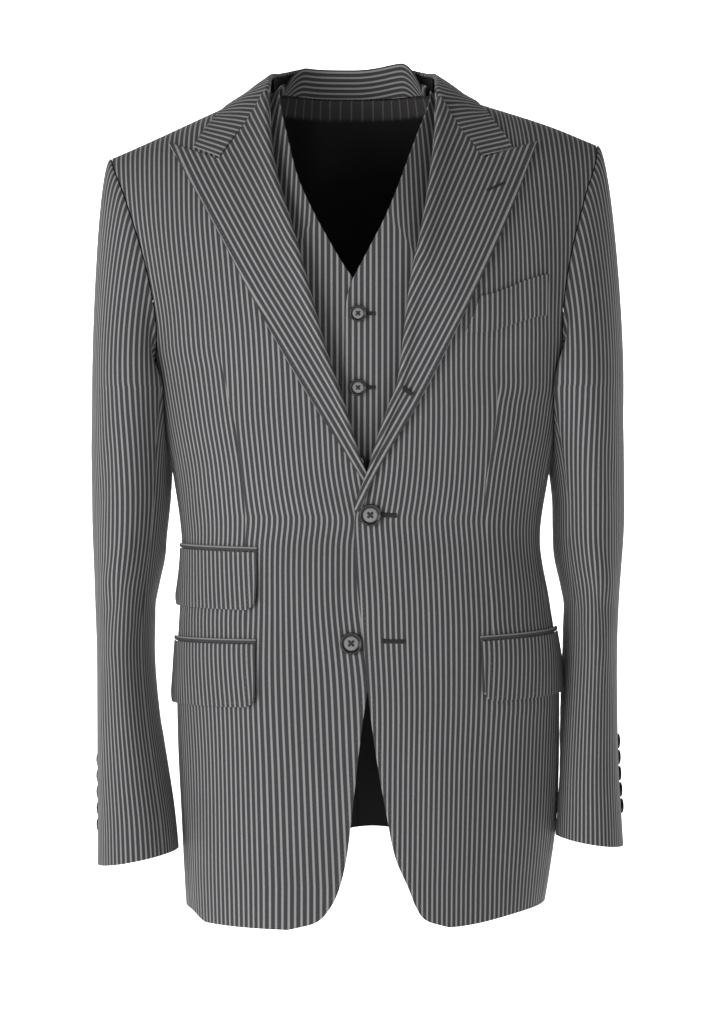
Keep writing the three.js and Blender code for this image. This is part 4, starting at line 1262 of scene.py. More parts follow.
def collar_line(line, s):
    """A point of the collar's fold or outer edge. s runs from the right end over the centre back."""
    half = np.minimum(s, 1 - s)
    left = s > 0.5
    if line == "fold":
        x = COLLAR("fold_x", half) + left * COLLAR("left_x", half)
        y = COLLAR("fold_y", half) + left * COLLAR("left_y", half)
    else:
        x = COLLAR("edge_x", half)
        y = np.where(left, COLLAR("edge_left", half), COLLAR("edge_right", half))
    x = NECK_X + np.where(left, 1, -1) * x
    return xyz(x, y, height_over(x, y) + (COLLAR("rise", half) if line == "fold" else 0))


COLLAR_BULGE, COLLAR_ROLL = 3, 3.0  # bulge of the leaf, and radius of its fold
STAND_IN = 2.3  # how far inside the fold the stand is
FOLD_FROM, FOLD_OVER = 0.13, 0.05  # where along it from each end the fold starts, and over what
LEAF_CLEAR, EDGE_CLEAR = 3.6, 2.2  # the leaf's face over the shoulder, inside it and at its edge


def collar_leaf(s, w):
    """The leaf between the fold and the edge, bulged by a sine. At its ends and behind it is kept
    clear of the body along the normal, and on the shoulders upwards."""
    p = lerp(collar_line("fold", s), collar_line("edge", s), put(w))
    clear = lerp(LEAF_CLEAR, EDGE_CLEAR, smooth(w / 0.8)) + 0 * s
    bulge = COLLAR_BULGE * np.sin(np.pi * w)
    lying = clear_of(lifted(p, bulge), clear)
    x, y = p[..., 0], p[..., 1]
    raised = xyz(x, y, np.maximum(p[..., 2], height_over(x, y) + 1.08 * clear) + bulge)
    half = np.minimum(s, 1 - s)
    on_shoulder = smooth((half - 0.12) / 0.05) * (1 - smooth((half - 0.3) / 0.06))
    return lerp(lying, raised, put(on_shoulder + 0 * w))


def collar():
    """The collar's leaf, which rolls over its fold, and the stand inside it."""
    wide = np.linalg.norm(collar_line("fold", 0.5) - collar_line("edge", 0.5))
    along = shares(560, CELL) * 0.996 + 0.002
    s, w = grid(along, shares(wide, 3))
    folded = smooth((np.minimum(s, 1 - s) - FOLD_FROM) / FOLD_OVER)
    leaf = collar_leaf(s, lerp(folded * COLLAR_ROLL / 36, 1, w))
    normal = grid_normals(leaf)
    normal *= np.sign(np.sum(normal * outward(leaf)))
    toward = unit(leaf[:1] - leaf[1:2])
    k = np.linspace(1, 0, 11)[:-1, None]
    turn = COLLAR_TURN * folded[:1]
    length = lerp(0.6, COLLAR_ROLL * COLLAR_TURN, folded[:1])
    roll = rolled(leaf[:1], toward, normal[:1], length, turn, k)
    p = np.concatenate([roll, leaf], axis=0)
    middle = p[len(roll) + leaf.shape[0] // 2][None]
    uv = cloth_uv(run(middle, 1) - run(middle, 1)[0, -1] / 2, run(p, 0))
    outside = np.concatenate([np.zeros_like(roll), outward(leaf)], axis=0)
    name = "jacket_collar_fall"
    cloth(name, p, uv, COLLAR_THICK, (WOOL, WOOL), outside, round_edge=0.7)

    s, v = grid(lerp(0.31, 0.69, shares(220, CELL)), shares(30, CELL))
    top = collar_line("fold", s)
    inward = unit(top * (1, 1.3, 0))
    p = top - inward * STAND_IN
    p[..., 2] = lerp(BACK_NECK + 1, top[..., 2] - 3.5, v)
    uv = cloth_uv(run(p, 1), run(p, 0))
    cloth("jacket_collar_stand", p, uv, STAND_THICK, (LINING, LINING), -inward)


# ---------------------------------------------------------------------------------------------------
# Sleeves
# ---------------------------------------------------------------------------------------------------


def armhole_loop(side):
    """The armhole as a function of the share of its length: crown, front, armpit, back."""
    steps = 160
    t = np.linspace(0, 1, steps + 1)
    crown_z = ridge(on_ring(sided(side, ARMHOLE("front", -50)), -50)[0])
    z = lerp(crown_z, ARMPIT, t**ROW_POWER)
    front = on_ring(sided(side, ARMHOLE("front", z)), z)
    dip = 6 * np.sin(np.pi * t[1:-1])
    under = on_ring(sided(side, lerp(SIDE_FRONT, SIDE_BACK, t[1:-1])), ARMPIT - dip)
    back = on_ring(sided(side, -ARMHOLE("back", z)), z)[::-1]
    path = np.concatenate([front, under, back, front[:1]])
    far = run(path, 0)
    far /= far[-1]
    return lambda share: np.stack([np.interp(share % 1, far, path[:, i]) for i in range(3)], axis=-1)


def cuff_height(side, share):
    """Height of the cuff's hem: a cosine from side to side, and lower behind by a sine."""
    outside = (1 + np.cos(2 * np.pi * share)) / 2
    behind = np.maximum(0, -np.sin(2 * np.pi * share))
    return lerp(CUFF[side][1], CUFF[side][0], outside) - CUFF_REAR * behind


def arm_ring(side, share, z):
    """The sleeve's level ring: an ellipse round the arm's own line."""
    sign = SIGN[side]
    turn = 2 * np.pi * share
    x = SLEEVE(side, z) + SLEEVE(f"wide_{side}", z) * np.cos(turn)
    return xyz(sign * x, SLEEVE("y", z) - SLEEVE("deep", z) * np.sin(turn), z)


def sleeve_point(side, share, v):
    """The sleeve by the share round it and down it. Above the first ring a cubic leaves the armhole
    outwards and comes down on that ring."""
    sign = SIGN[side]
    share, v = np.broadcast_arrays(np.asarray(share, float), np.asarray(v, float))
    t = np.clip(v / HEAD_SHARE, 0, 1)
    z = lerp(SLEEVE_TOP, cuff_height(side, share), np.clip((v - HEAD_SHARE) / (1 - HEAD_SHARE), 0, 1))
    arm = clear_of(arm_ring(side, share, z), BESIDE)
    crown = (1 + np.cos(2 * np.pi * share)) / 2
    start = armhole_loop(side)(share) + (sign * HEAD_GAP, 0, 0)
    end = arm_ring(side, share, SLEEVE_TOP + 0 * share)
    out_z = ROPE_UP * crown**3 - 10 * (1 - crown)
    out = xyz(sign * ROPE_OUT, -12 * np.sin(2 * np.pi * share), out_z)
    down = unit(arm_ring(side, share, SLEEVE_TOP - 1 + 0 * share) - end)
    down *= np.linalg.norm(end - start, axis=-1, keepdims=True) * 0.9
    t = put(t)
    head = start * (1 + 2 * t) * (1 - t) ** 2 + out * t * (1 - t) ** 2
    head += end * t * t * (3 - 2 * t) + down * t * t * (t - 1)
    aside = put(smooth((1 - crown) / 0.06))
    head = lerp(head, clear_of(head, lerp(SEAM, BESIDE, smooth(t[..., 0] * 4))), aside)
    return np.where(put(v > HEAD_SHARE), arm, head)


# Soft folds of a sleeve: share round and height of each end, half width and height in millimetres.
SLEEVE_FOLDS = [
    (0.30, -395, 0.12, -452, 11, 1.4),
    (0.33, -430, 0.14, -470, 10, -1.5),
    (0.34, -462, 0.16, -512, 12, 1.3),
    (0.20, -300, 0.10, -395, 12, -0.9),
    (0.05, -290, 0.03, -420, 13, 0.7),
    (0.12, -520, 0.10, -660, 12, 0.8),
    (0.45, -400, 0.60, -440, 10, 1.3),
    (0.42, -445, 0.62, -476, 11, -1.3),
    (0.70, -320, 0.80, -430, 13, 1.0),
    (0.78, -470, 0.90, -640, 13, -0.9),
    (0.55, -560, 0.52, -650, 12, 0.8),
    (0.94, -300, 0.93, -470, 13, -0.7),
]
ARM_ROUND = 360  # about the sleeve's girth, which turns shares into distances for the folds


def sleeve_relief(share, z):
    """The sleeve's folds, laid out on its unrolled girth, faded out at the seams and the cuff."""
    flat_folds = [(a * ARM_ROUND, b, c * ARM_ROUND, d, 3, e, f) for a, b, c, d, e, f in SLEEVE_FOLDS]
    here = (share % 1) * ARM_ROUND
    total = sum(fold_heights(flat_folds, here + turn, z) for turn in (0, -ARM_ROUND, ARM_ROUND))
    return total * smooth((z + 690) / 40)


def back_seam(v):
    """Share round the sleeve of its back seam, which leans towards the outside down the sleeve."""
    return lerp(SEAM_BACK_TOP, SEAM_BACK_CUFF, v)


def arm_place(side, share, middle):
    """Distance round the sleeve from one share of it, as the mean of its first ring and its last."""
    total = 0
    for z in (SLEEVE_TOP, min(CUFF[side])):
        all_round = np.linspace(-0.5, 1.2, 400)
        far = run(arm_ring(side, all_round, z + 0 * all_round), 0)
        total = total + np.interp(share, all_round, far) - np.interp(middle, all_round, far)
    return total / 2


def sleeve(side):
    """The top and the under sleeve, sewn at a front and a back seam."""
    cuff = shares(430, CELL)[1:]
    down = np.concatenate([[0, 0.006], np.linspace(0, HEAD_SHARE, 57)[1:], lerp(HEAD_SHARE, 1, cuff)])
    front, back = SEAM_FRONT, back_seam(put(down))
    # The shares round where each starts and ends, about how wide it is, and the share of its middle.
    kinds = {
        "top": (back - 1 + SEAM_HALF, front - SEAM_HALF, 225, 0),
        "under": (front + SEAM_HALF, back - SEAM_HALF, 150, 0.5),
    }
    for kind, (start, end, wide, middle) in kinds.items():
        u, v = grid(shares(wide, CELL), down)
        share = lerp(start, end, u)
        base = sleeve_point(side, share, v)
        outside = base - xyz(SIGN[side] * SLEEVE(side, base[..., 2]), 0, base[..., 2])
        normal = grid_normals(base)
        normal *= np.sign(np.sum(normal * outside))
        p = base + normal * put(sleeve_relief(share, base[..., 2]) * smooth((v - 0.06) / 0.1))
        first = np.searchsorted(down, HEAD_SHARE)
        at = np.argmin(np.abs(share[[first, -1]] - middle), axis=1)
        uv = hung_straight(flatten(p, (30, 15)), (first, at[0]), (len(down) - 1, at[1]))
        arc = run(p, 1)
        arc -= put([np.interp(middle, *row) for row in zip(share, arc)])
        arm = lerp(arc, arm_place(side, share, middle), smooth((v - HEAD_SHARE) / 0.35))
        uv[..., 0] = lerp(uv[..., 0], arm, smooth((v - HEAD_SHARE) / 0.4))
        name = f"jacket_sleeve_{kind}_{side}"
        cloth(name, p, uv, CLOTH, JACKET_CLOTH, outside)


# ---------------------------------------------------------------------------------------------------
# Pockets
# ---------------------------------------------------------------------------------------------------


def on_panel(degrees, z, height):
    """A point of a front by its angle and height, moved out over the folds."""
    base = on_ring(degrees, z)
    return lifted(base, height + front_relief(base[..., 0], z))


def flap_place(pocket, u, v):
    """Angle and height of a flap. Its lower corners are round, and its columns crowd at its ends."""
    start = angle_of(pocket["front"], pocket["top"])
    s = (1 - np.cos(np.pi * u)) / 2
    ends = on_ring(np.array([start, pocket["rear"]]), pocket["top"])
    wide = np.linalg.norm(ends[1] - ends[0]) * 1.08
    d = np.minimum(np.minimum(s, 1 - s) * wide, FLAP_CORNER)
    corner = FLAP_CORNER - np.sqrt(FLAP_CORNER**2 - (FLAP_CORNER - d) ** 2)
    lean = pocket["top"] + pocket["slant"] * s
    return lerp(start, pocket["rear"], s), lean - SEAM - (pocket["deep"] - corner) * v


def flap_point(pocket, u, v):
    """The flap's outer face, which stands off more towards its lower corners."""
    degrees, z = flap_place(pocket, u, v)
    return on_panel(degrees, z, CLOTH + LAY + 1.6 * v**2 + 0.7 * v * (1 - np.sin(np.pi * u)))


def pocket(name):
    """A jetting and the flap that hangs from it."""
    spec = POCKETS[name]
    side = "left" if name == "left" else "right"
    start = angle_of(spec["front"], spec["top"])
    grain = front_grain(spec["front"], spec["top"], side)
    u, v = grid(shares(82, 3), shares(JETTING, 0.6))
    z = spec["top"] + spec["slant"] * u + JETTING * (1 - v)
    plump = 1.0 + 1.9 * np.sin(np.pi * np.clip(v, 0.02, 0.98)) ** 0.6
    p = on_panel(lerp(start, spec["rear"], u), z, plump)
    uv = cloth_uv(JETTING_STRIPE * PITCH / MM + run(p, 0), run(p, 1))
    points, faces, uv_all, slots = wall(p, uv, JETTING_THICK, 0.3, outward(p))
    jetting = make_object(f"jacket_jetting_{name}", points, faces, uv_all, slots * 0, (WOOL,))
    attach(jetting, "root")
    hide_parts(f"jacket_jetting_{name}")

    u, v = grid(shares(84, 2.4), shares(spec["deep"], 3))
    p = flap_point(spec, u, v)
    uv = cloth_uv(grain + run(p, 1), run(p, 0))
    name = f"jacket_flap_{name}"
    cloth(name, p, uv, CLOTH, JACKET_CLOTH, outward(p), round_edge=0.6)


def welt_place(u, v):
    """x and z of the chest pocket's curved welt. Its inner end goes to the lapel's edge."""
    x = lerp(lerp(WELT_INNER, WELT_INNER_LOW, v), WELT_OUTER - 1.5 * v, u)
    rise = WELT_RISE * smooth((x - WELT_INNER_LOW + 3) / (WELT_OUTER - WELT_INNER_LOW + 11)) ** 1.2
    return x, WELT_TOP + rise - WELT_DEEP * v - 5 * v * u


def welt_point(u, v):
    """The welt's outer face, a little prouder at its top."""
    x, z = welt_place(u, v)
    return on_front(x, z, WELT_THICK + LAY + 0.5 * (1 - v))


def welt():
    """The welt of the chest pocket, its stripes in line with the front's."""
    u, v = grid(shares(76, 2.5), shares(WELT_DEEP, 2.5))
    p = welt_point(u, v)
    x, z = welt_place(u, v)
    uv = cloth_uv(front_grain(x, z, "left") + 0.6, run(p, 0))
    name = "jacket_breast_welt"
    cloth(name, p, uv, WELT_THICK, (WOOL, WOOL), outward(p), round_edge=0.5)


# ---------------------------------------------------------------------------------------------------
# Waistcoat
# ---------------------------------------------------------------------------------------------------


def inset(p):
    """How far inside the jacket's surface the waistcoat lies at a point of it."""
    x, z = p[..., 0], p[..., 2]
    at_neck = 1 - smooth((np.abs(x - NECK_X) - 75) / 30)
    return lerp(SHOULDER_INSET, INSET, np.maximum(at_neck, smooth((ridge(x) - z) / 90)))


VEST_ROWS = dict(armpit=VEST_ARMPIT, power=1.3)
VEST_GIRTH = {"front": 0.94, "back": 0.95}  # as shares of the jacket's
VEST_STRIPE = 0.9  # how far its stripes are moved out from the middle


def vest_front(side):
    """Half of the waistcoat's front, from its neckline and front edge to the armhole and the side."""
    sign = SIGN[side]
    above, down = row_shares(64, 62)
    u, v = grid(shares(190, CELL), down)

    def start(z):
        """Angle of the neckline and the front edge."""
        return angle_of(VEST_EDGE(side, z), z)

    def end(z):
        """Angle of the armhole, and below it of the side seam."""
        return sided(side, np.where(z > VEST_ARMPIT, VEST_ARMHOLE("front", z), 0.03))

    def hem(x):
        """The hem, which rises from its point to the side by a smooth step."""
        return lerp(VEST_POINT, VEST_SIDE, smooth((np.abs(x) - 35) / 95))

    degrees, z = row_places(u, v, start, end, top=ridge, hem=hem, above=above, **VEST_ROWS)
    base = on_ring(degrees, z)
    x = base[..., 0]
    near = 1 - smooth((np.abs(x) - 15) / 40)
    lap = sign * VEST_LAP * near * smooth((-z - 110) / 50)
    waves = 0.7 * np.sin(z / 34 + x / 40) * smooth((-z - 180) / 60) * smooth((np.abs(x) - 20) / 30)
    p = lifted(base, lap + waves - inset(base))
    uv = cloth_uv(VEST_GIRTH["front"] * across_body(x, z) + VEST_STRIPE * sign, run(p, 0))
    cloth(f"vest_front_{side}", p, uv, SOFT, VEST_CLOTH, outward(base))


def vest_back():
    """The waistcoat's satin back, in one piece from armhole to armhole."""
    above, down = row_shares(56, 50)
    u, v = grid(shares(420, 5), down)

    def edge(z):
        """Degrees behind the side of the armhole, and below it of the side seam, as a negative."""
        return np.where(z > VEST_ARMPIT, -VEST_ARMHOLE("back", z), -0.03)

    def top(x):
        """The shoulder seam, cut off level under the neckband."""
        return np.minimum(ridge(x), VEST_NECK)

    def start(z):
        """Angle of the right edge."""
        return 180 - edge(z)

    def end(z):
        """Angle of the left edge."""
        return 360 + edge(z)

    rows = dict(top=top, hem=lambda x: VEST_BACK_HEM, above=above, **VEST_ROWS)
    degrees, z = row_places(u, v, start, end, **rows)
    base = on_ring(degrees, z)
    x = base[..., 0]
    waves = 1.0 * np.sin(z / 40 + x / 60) * smooth((-z - 120) / 80)
    p = lifted(base, waves - inset(base))
    uv = cloth_uv(VEST_GIRTH["back"] * across_body(x, z, "back"), run(p, 0))
    cloth("vest_back", p, uv, SOFT, VEST_SATIN, outward(base))


def neckband(side):
    """The fronts' own cloth carried round the back of the neck to a centre seam. Its end runs on over
    the shoulder as a narrow strip beside the strap."""
    sign = SIGN[side]
    along = np.concatenate([np.linspace(-BAND_END, 0, 9)[:-1], lerp(0, 1.003, shares(115, 3))])
    s, v = grid(along, shares(24, 2.5))
    turn = np.pi / 2 * np.maximum(s, 0)
    x = NECK_X + sign * BAND_SIDE * np.cos(turn)
    z = np.minimum(ridge(x), VEST_NECK)
    behind = on_ring(360 - angle_of(x, z), z)
    y = behind[..., 1] + np.minimum(s, 0) * BAND_FORWARD / BAND_END
    foot = np.where(put(s < 0), xyz(x, y, height_over(x, y)), behind)
    p = lifted(foot, -inset(foot))
    p = p + unit(p * (-1, -1, 0)) * put(BAND_LEAN * v)
    tall = lerp(BAND_LOW, BAND_HIGH, smooth(s / 0.5)) * (1 + 6 * np.minimum(s, 0))
    tall += BAND_CROWN[side] * np.sin(np.pi * np.maximum(s, 0)) ** 2
    p[..., 2] += 2 * SEAM + tall * v
    uv = cloth_uv(run(p, 0) - run(p, 0)[-1:], run(p, 1))
    outside = unit(p * (1, 1, 0))
    cloth(f"vest_neckband_{side}", p, uv, SOFT, (WOOL, WOOL), outside, round_edge=0.5)


# ---------------------------------------------------------------------------------------------------
# Buttons, buttonholes and stitches
# ---------------------------------------------------------------------------------------------------

# Radius, thickness and number of sides.
BUTTONS = {"jacket": (9.8, 3.0, 40), "vest": (7.4, 2.4, 30), "cuff": (6.9, 2.4, 30)}
SHANK = 1.0  # its length
THREAD_ROUND, SHANK_ROUND = 0.24, 1.7  # radius of the threads on the face, and of the wound shank
FACE = 0.88  # height of the middle of its face, as a share of its thickness
HOLE_OUT, HOLE = 0.24, 0.12  # where the thread holes are and how wide, as shares of the radius


def button_profile(r, thick):
    """Rows of radius, height, paleness and darkness, from the middle of the back round the rim to the
    middle of the face. The paleness is a painted highlight, the light's reflection on the rim and the
    face, and the darkness is painted shade in the groove."""
    return np.array(
        [
            (0, SHANK, 0, 0),
            (0.72 * r, SHANK, 0, 0),
            (0.9 * r, SHANK + 0.2 * thick, 0, 0),
            (0.985 * r, SHANK + 0.42 * thick, 0, 0),
            (r, SHANK + 0.6 * thick, 0, 0),
            (0.975 * r, SHANK + 0.82 * thick, 0, 0),
            # painted highlight on the rim
            (0.93 * r, SHANK + 0.97 * thick, 0.2, 0),
            (0.88 * r, SHANK + thick, 0.45, 0),
            # painted shade in the groove
            (0.83 * r, SHANK + 0.95 * thick, 0.1, 0.4),
            (0.78 * r, SHANK + 0.8 * thick, 0, 1),
            (0.73 * r, SHANK + 0.66 * thick, 0, 1),
            (0.68 * r, SHANK + 0.66 * thick, 0.1, 0.6),
            # painted highlight on the face, weaker in its middle
            (0.62 * r, SHANK + 0.74 * thick, 0.6, 0),
            (0.5 * r, SHANK + 0.8 * thick, 1, 0),
            (0.3 * r, SHANK + 0.86 * thick, 1, 0),
            (0.12 * r, SHANK + FACE * thick, 0.4, 0),
            (0, SHANK + FACE * thick, 0.2, 0),
        ]
    )


THREADS_MADE = []  # of every button sewn on so far


def button(name, kind, foot, normal):
    """A sewn horn button: its turned body, four dark discs at its thread holes, for the thread in them
    and painted shade in the holes, and crossed threads with a shank.
    """
    r, thick, sides = BUTTONS[kind]
    profile = button_profile(r, thick)
    points, faces = revolve(profile, sides)
    # The painted highlight and painted shade of each ring, carried in the cloth place.
    painted_highlight_and_shade = np.repeat(profile[1:-1, 2:], sides, axis=0)
    uv = np.concatenate([painted_highlight_and_shade, profile[:1, 2:], profile[-1:, 2:]])
    foot = foot + normal * SEAM
    body = make_object(name, stand_on(points, foot, normal), faces, uv, None, (HORN,))
    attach(body, "root")
    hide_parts(name)
    face = SHANK + FACE * thick
    out = HOLE_OUT * r
    corners = np.array([(-out, -out), (out, -out), (out, out), (-out, out)]) / math.sqrt(2)
    parts = []
    # Dark discs in the thread's colour stand for the four holes: the thread in them, and painted shade
    # in the holes.
    hole_thread_and_shade = revolve([(0, 0), (HOLE * r, 0), (HOLE * r, 0.12), (0, 0.14)], 12)
    for x, y in corners:
        parts.append((hole_thread_and_shade[0] + (x, y, face - 0.08), hole_thread_and_shade[1]))
    t = np.linspace(-1, 1, 9)
    for a, b, rise in ((0, 2, 0.32), (1, 3, 0.5)):
        spot = lerp(corners[a], corners[b], put((t + 1) / 2))
        way = corners[b] - corners[a]
        for off in (-0.2, 0.2):
            slide = off * np.array([-way[1], way[0]]) / np.linalg.norm(way)
            path = np.column_stack([spot + slide, face - 0.3 + (rise + 0.3) * (1 - t**4)])
            parts.append(tube(path, THREAD_ROUND, 6, np.array([0, 0, 1.0])))
    shank = np.column_stack([np.zeros((4, 2)), np.linspace(-1.2, SHANK + 0.3, 4)])
    parts.append(tube(shank, SHANK_ROUND, 10, np.array([0, 1.0, 0])))
    made = join(parts)
    THREADS_MADE.append((stand_on(made[0], foot, normal), made[1]))


def sew_buttons():
    """Two buttons on the front, five on the waistcoat and five on each cuff, square to the cloth."""
    for name, (x, z, side) in FRONT_BUTTONS.items():
        p = on_front(x, z, 0, side)
        button(f"jacket_button_{name}", "jacket", p, outward(p))
    for i in range(VEST_BUTTONS):
        x, z = VEST_BUTTON_X, VEST_BUTTON_TOP - i * VEST_BUTTON_PITCH
        p = on_ring(angle_of(x, z), z)
        p = lifted(p, VEST_LAP - INSET)
        button(f"vest_button_{i + 1}", "vest", p, outward(p))
    for side, at in CUFF_ROUND.items():
        end = cuff_height(side, at)
        for i in range(CUFF_BUTTONS):
            z = end + CUFF_ABOVE + i * CUFF_PITCH
            v = HEAD_SHARE + (1 - HEAD_SHARE) * (SLEEVE_TOP - z) / (SLEEVE_TOP - end)
            p = sleeve_point(side, np.array([at, at - 0.01, at + 0.01]), v)
            along = sleeve_point(side, at, np.array([v - 0.01, v + 0.01]))
            normal = unit(np.cross(p[2] - p[1], along[1] - along[0]))
            normal = -normal if normal[0] * p[0, 0] < 0 else normal
            button(f"cuff_button_{side}_{i + 1}", "cuff", p[0], normal)


def dressed(name, parts, material):
    """Small sewn work of one thread, as one piece."""
    points, faces = join(parts)
    made = make_object(name, points, faces, None, None, (material,))
    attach(made, "root")


def even(path, step):
    """Points of a path about a step apart, from half a step inside its start to as much before its
    end."""
    far = run(path, 0)
    count = max(int(far[-1] / step), 2)
    at = (np.arange(count) + 0.5) / count * far[-1]
    return np.stack([np.interp(at, far, path[:, i]) for i in range(3)], axis=-1)


STITCH, STITCH_STEP, STITCH_ROUND = 2.0, 4.4, 0.17  # length, pitch and radius
STITCH_INSIDE = 3.6  # from an edge to its stitches


def pick_stitches(path):
    """Small hand stitches along a path: each a thin low tube, its ends pulled into the cloth."""
    spots = even(path, STITCH_STEP)
    along = unit(np.gradient(spots, axis=0))
    up = outward(spots)
    t = np.array([-0.5, -0.2, 0.2, 0.5])
    parts = []
    for spot, way, n in zip(spots, along, up):
        ends = spot + way * put(t * STITCH) + n * put(np.array([-0.25, 0.06, 0.06, -0.25]))
        parts.append(tube(ends, STITCH_ROUND, 5, n))
    return parts


PURL_STEP, PURL_ROUND = 0.52, 0.31  # pitch and radius of a buttonhole's stitches

# Buttonholes: x and z of the end at the shank and of the other end, length, width and stitch pitch.
FRONT_HOLES = [
    ((21, -377), (34.5, -377.5), 13.5, 4.0, PURL_STEP),
    ((22, -487), (42, -487.5), 20, 3.6, PURL_STEP),
]
LAPEL_HOLES = [
    ((34, -265), (45, -270.5), 13, 3.6, PURL_STEP),
    ((112, -93), (129.5, -84.5), 19, 2.4, 1.1),
]
VEST_HOLE_X, VEST_HOLE = (4.5, 16.5), (11.5, 3.2, PURL_STEP)
HOLE_UP = 0.1  # how far the stitches stand over the cloth


def buttonhole(start, end, long, wide, step):
    """A worked hole midway between two points, its shank end towards the first: close stitches across
    it from end to end, each a low arch, and wider round the shank end. Gives the stitches, and a dark
    tube in the thread's colour sunk along its middle, the painted shade in the cut slit."""
    foot = (start + end) / 2
    normal = outward(foot)
    way = unit((start - end) - np.dot(start - end, normal) * normal)
    side = np.cross(normal, way)
    across = np.array([-1, -0.8, -0.3, -0.08])
    high = np.array([-0.15, 0.4, 0.5, 0.1])
    purl = []
    for place in np.linspace(-0.5, 0.5, int(long / step)):
        half = wide / 2 * (1 + 0.25 * np.exp(-(((place - 0.44) / 0.07) ** 2)))
        for sign in (-1, 1):
            ends = foot + way * (place * long) + side * put(sign * across * half) + normal * put(high)
            purl.append(tube(ends, PURL_ROUND, 5, normal))
    # Painted shade: a dark tube in the thread's colour fills the slit between the stitches.
    slit_shade = foot + put(np.linspace(-0.5, 0.5, 7) * long) * way - 0.02 * normal
    return purl, tube(slit_shade, wide * 0.2, 8, normal)


def on_lapel(x, z):
    """The point just over the left lapel that is nearest in x and z."""
    u, v = grid(np.linspace(0, 1, 80), np.linspace(0, 1, 300))
    at_x, at_z = lapel_place("left", u, v)
    near = np.unravel_index(np.argmin(np.hypot(at_x - x, at_z - z)), u.shape)
    return lapel_point("left", u[near], v[near], HOLE_UP)


def buttonholes():
    """Holes of the left front, its lapel and the waistcoat, each at the right of its button."""
    made = []
    for start, end, *sizes in FRONT_HOLES:
        ends = [on_front(x, z, HOLE_UP, "left") for x, z in (start, end)]
        made.append(buttonhole(*ends, *sizes))
    for start, end, *sizes in LAPEL_HOLES:
        made.append(buttonhole(on_lapel(*start), on_lapel(*end), *sizes))
    for i in range(VEST_BUTTONS):
        z = VEST_BUTTON_TOP - i * VEST_BUTTON_PITCH
        height = HOLE_UP - INSET + VEST_LAP * 0.97
        ends = [lifted(on_ring(angle_of(x, z), z), height) for x in VEST_HOLE_X]
        made.append(buttonhole(*ends, *VEST_HOLE))
    dressed("buttonhole_purl", [stitch for purl, slit_shade in made for stitch in purl], DARK_THREAD)
    dressed("buttonhole_slit_shade", [slit_shade for purl, slit_shade in made], DARK_THREAD)


LAPEL_FOOT = {"left": -382, "right": -352}  # the front edge's stitches start below it


def stitch_work():
    """Pick stitches a few millimetres inside the edges."""
    parts = []
    z = np.linspace(-352, -726, 300)
    for side, sign in SIGN.items():
        here = z[z < LAPEL_FOOT[side]]
        x = front_edge(side, here) + sign * STITCH_INSIDE
        parts += pick_stitches(on_front(x, here, 0, side))
        v = np.linspace(0.03, 0.985, 200)
        edge = np.linalg.norm(lapel_point(side, 1 + 0 * v, v) - lapel_point(side, 0 * v, v), axis=-1)
        parts += pick_stitches(lapel_point(side, 1 - np.minimum(STITCH_INSIDE / edge, 0.5), v))
        u = np.linspace(NOTCH_SHARE + 0.02, 0.95, 40)
        parts += pick_stitches(lapel_point(side, u, 0.984 + 0 * u))
    s = np.linspace(0.012, 0.988, 400)
    parts += pick_stitches(collar_leaf(s, 0.9 + 0 * s))
    w = np.linspace(0.1, 0.88, 40)
    for s in (0.01, 0.99):
        parts += pick_stitches(collar_leaf(s + 0 * w, w))
    for spec in POCKETS.values():
        t = np.linspace(0, 1, 60)
        low = 1 - STITCH_INSIDE / spec["deep"]
        u = np.concatenate([0.15 + 0 * t, lerp(0.15, 0.85, t), 0.85 + 0 * t])
        v = np.concatenate([t * low, low + 0 * t, (1 - t) * low])
        parts += pick_stitches(flap_point(spec, u, v))
    u = np.linspace(0.05, 0.97, 60)
    parts += pick_stitches(welt_point(u, 0.12 + 0 * u))
    dressed("pick_stitches", parts, GREY_THREAD)


for one in ("right", "left"):
    jacket_front(one)
    jacket_side(one)
    jacket_back(one)
    lapel(one)
    sleeve(one)
    vest_front(one)
    neckband(one)
collar()
for one in POCKETS:
    pocket(one)
welt()
vest_back()
sew_buttons()
dressed("button_threads", THREADS_MADE, DARK_THREAD)
buttonholes()
stitch_work()

# ---------------------------------------------------------------------------------------------------
# Studio
# ---------------------------------------------------------------------------------------------------

FLOOR, FLOOR_FRONT, WALL, WALL_TOP, WIDE = -1.5, -7, 4.7, 6, 9  # the sweep's places, in metres
CURVE = 1.5  # radius between its floor and its wall
SUIT_MIDDLE = (0, 0, -0.4)


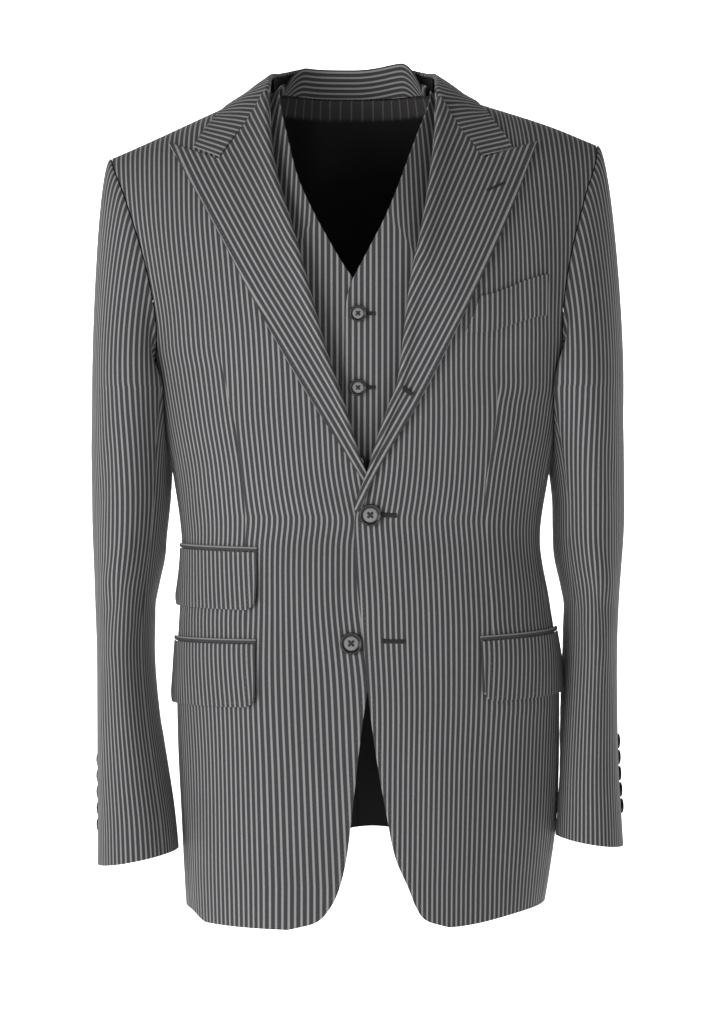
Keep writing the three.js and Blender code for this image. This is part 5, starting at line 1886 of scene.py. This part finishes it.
def studio():
    """A pale seamless sweep: a floor that curves up into a wall, as a profile carried sideways."""
    t = np.linspace(0, np.pi / 2, 16)
    y = np.concatenate([[FLOOR_FRONT], WALL - CURVE + CURVE * np.sin(t), [WALL]])
    z = np.concatenate([[FLOOR], FLOOR + CURVE * (1 - np.cos(t)), [WALL_TOP]])
    x = np.array([-WIDE, WIDE])
    p = xyz(x[None, :], y[:, None], z[:, None]) / MM
    index = np.arange(p.shape[0] * 2).reshape(-1, 2)
    sweep = make_object("studio_sweep", p.reshape(-1, 3), quads(index), None, None, ())
    material, n, shader = new_material("pale_paper")
    tone = n.mix(n.noise(n.spot(), 3.0, 2.0), (0.86, 0.86, 0.86, 1), (0.9, 0.9, 0.9, 1))
    inputs = {
        "Base Color": tone,
        "Emission Color": tone,
        "Emission Strength": 0.6,
        "Roughness": 0.9,
        "Specular IOR Level": 0.1,
    }
    n.give(shader, inputs)
    sweep.data.materials.append(material)


def lamp(name, spot, aim, size, power):
    """A square soft light at a spot, turned to face another."""
    data = bpy.data.lights.new(name, "AREA")
    data.shape = "SQUARE"
    data.size = size
    data.energy = power
    made = bpy.data.objects.new(name, data)
    made.location = spot
    made.rotation_euler = (Vector(aim) - Vector(spot)).to_track_quat("-Z", "Y").to_euler()
    bpy.context.scene.collection.objects.link(made)


studio()
lamp("key", (-1.7, -1.7, -0.1), SUIT_MIDDLE, 1.2, 34)
lamp("fill", (1.2, -2.3, -0.2), SUIT_MIDDLE, 1.4, 7)
lamp("wall_light", (0, 2.7, 1.7), (0, WALL, 0.3), 1.8, 150)
world = bpy.data.worlds.new("studio_air")
world.use_nodes = True
world.node_tree.nodes["Background"].inputs[0].default_value = (1, 1, 1, 1)
world.node_tree.nodes["Background"].inputs[1].default_value = 0.2
bpy.context.scene.world = world
bpy.context.scene.view_settings.view_transform = "Standard"

eye = bpy.data.cameras.new("camera")
eye.lens = 100.45
eye.sensor_width = 36
eye.clip_end = 50
camera = bpy.data.objects.new("camera", eye)
camera.location = (0.0027, -2.6, -0.375)
camera.rotation_euler = (math.radians(90), 0, 0)
bpy.context.scene.collection.objects.link(camera)
bpy.context.scene.camera = camera
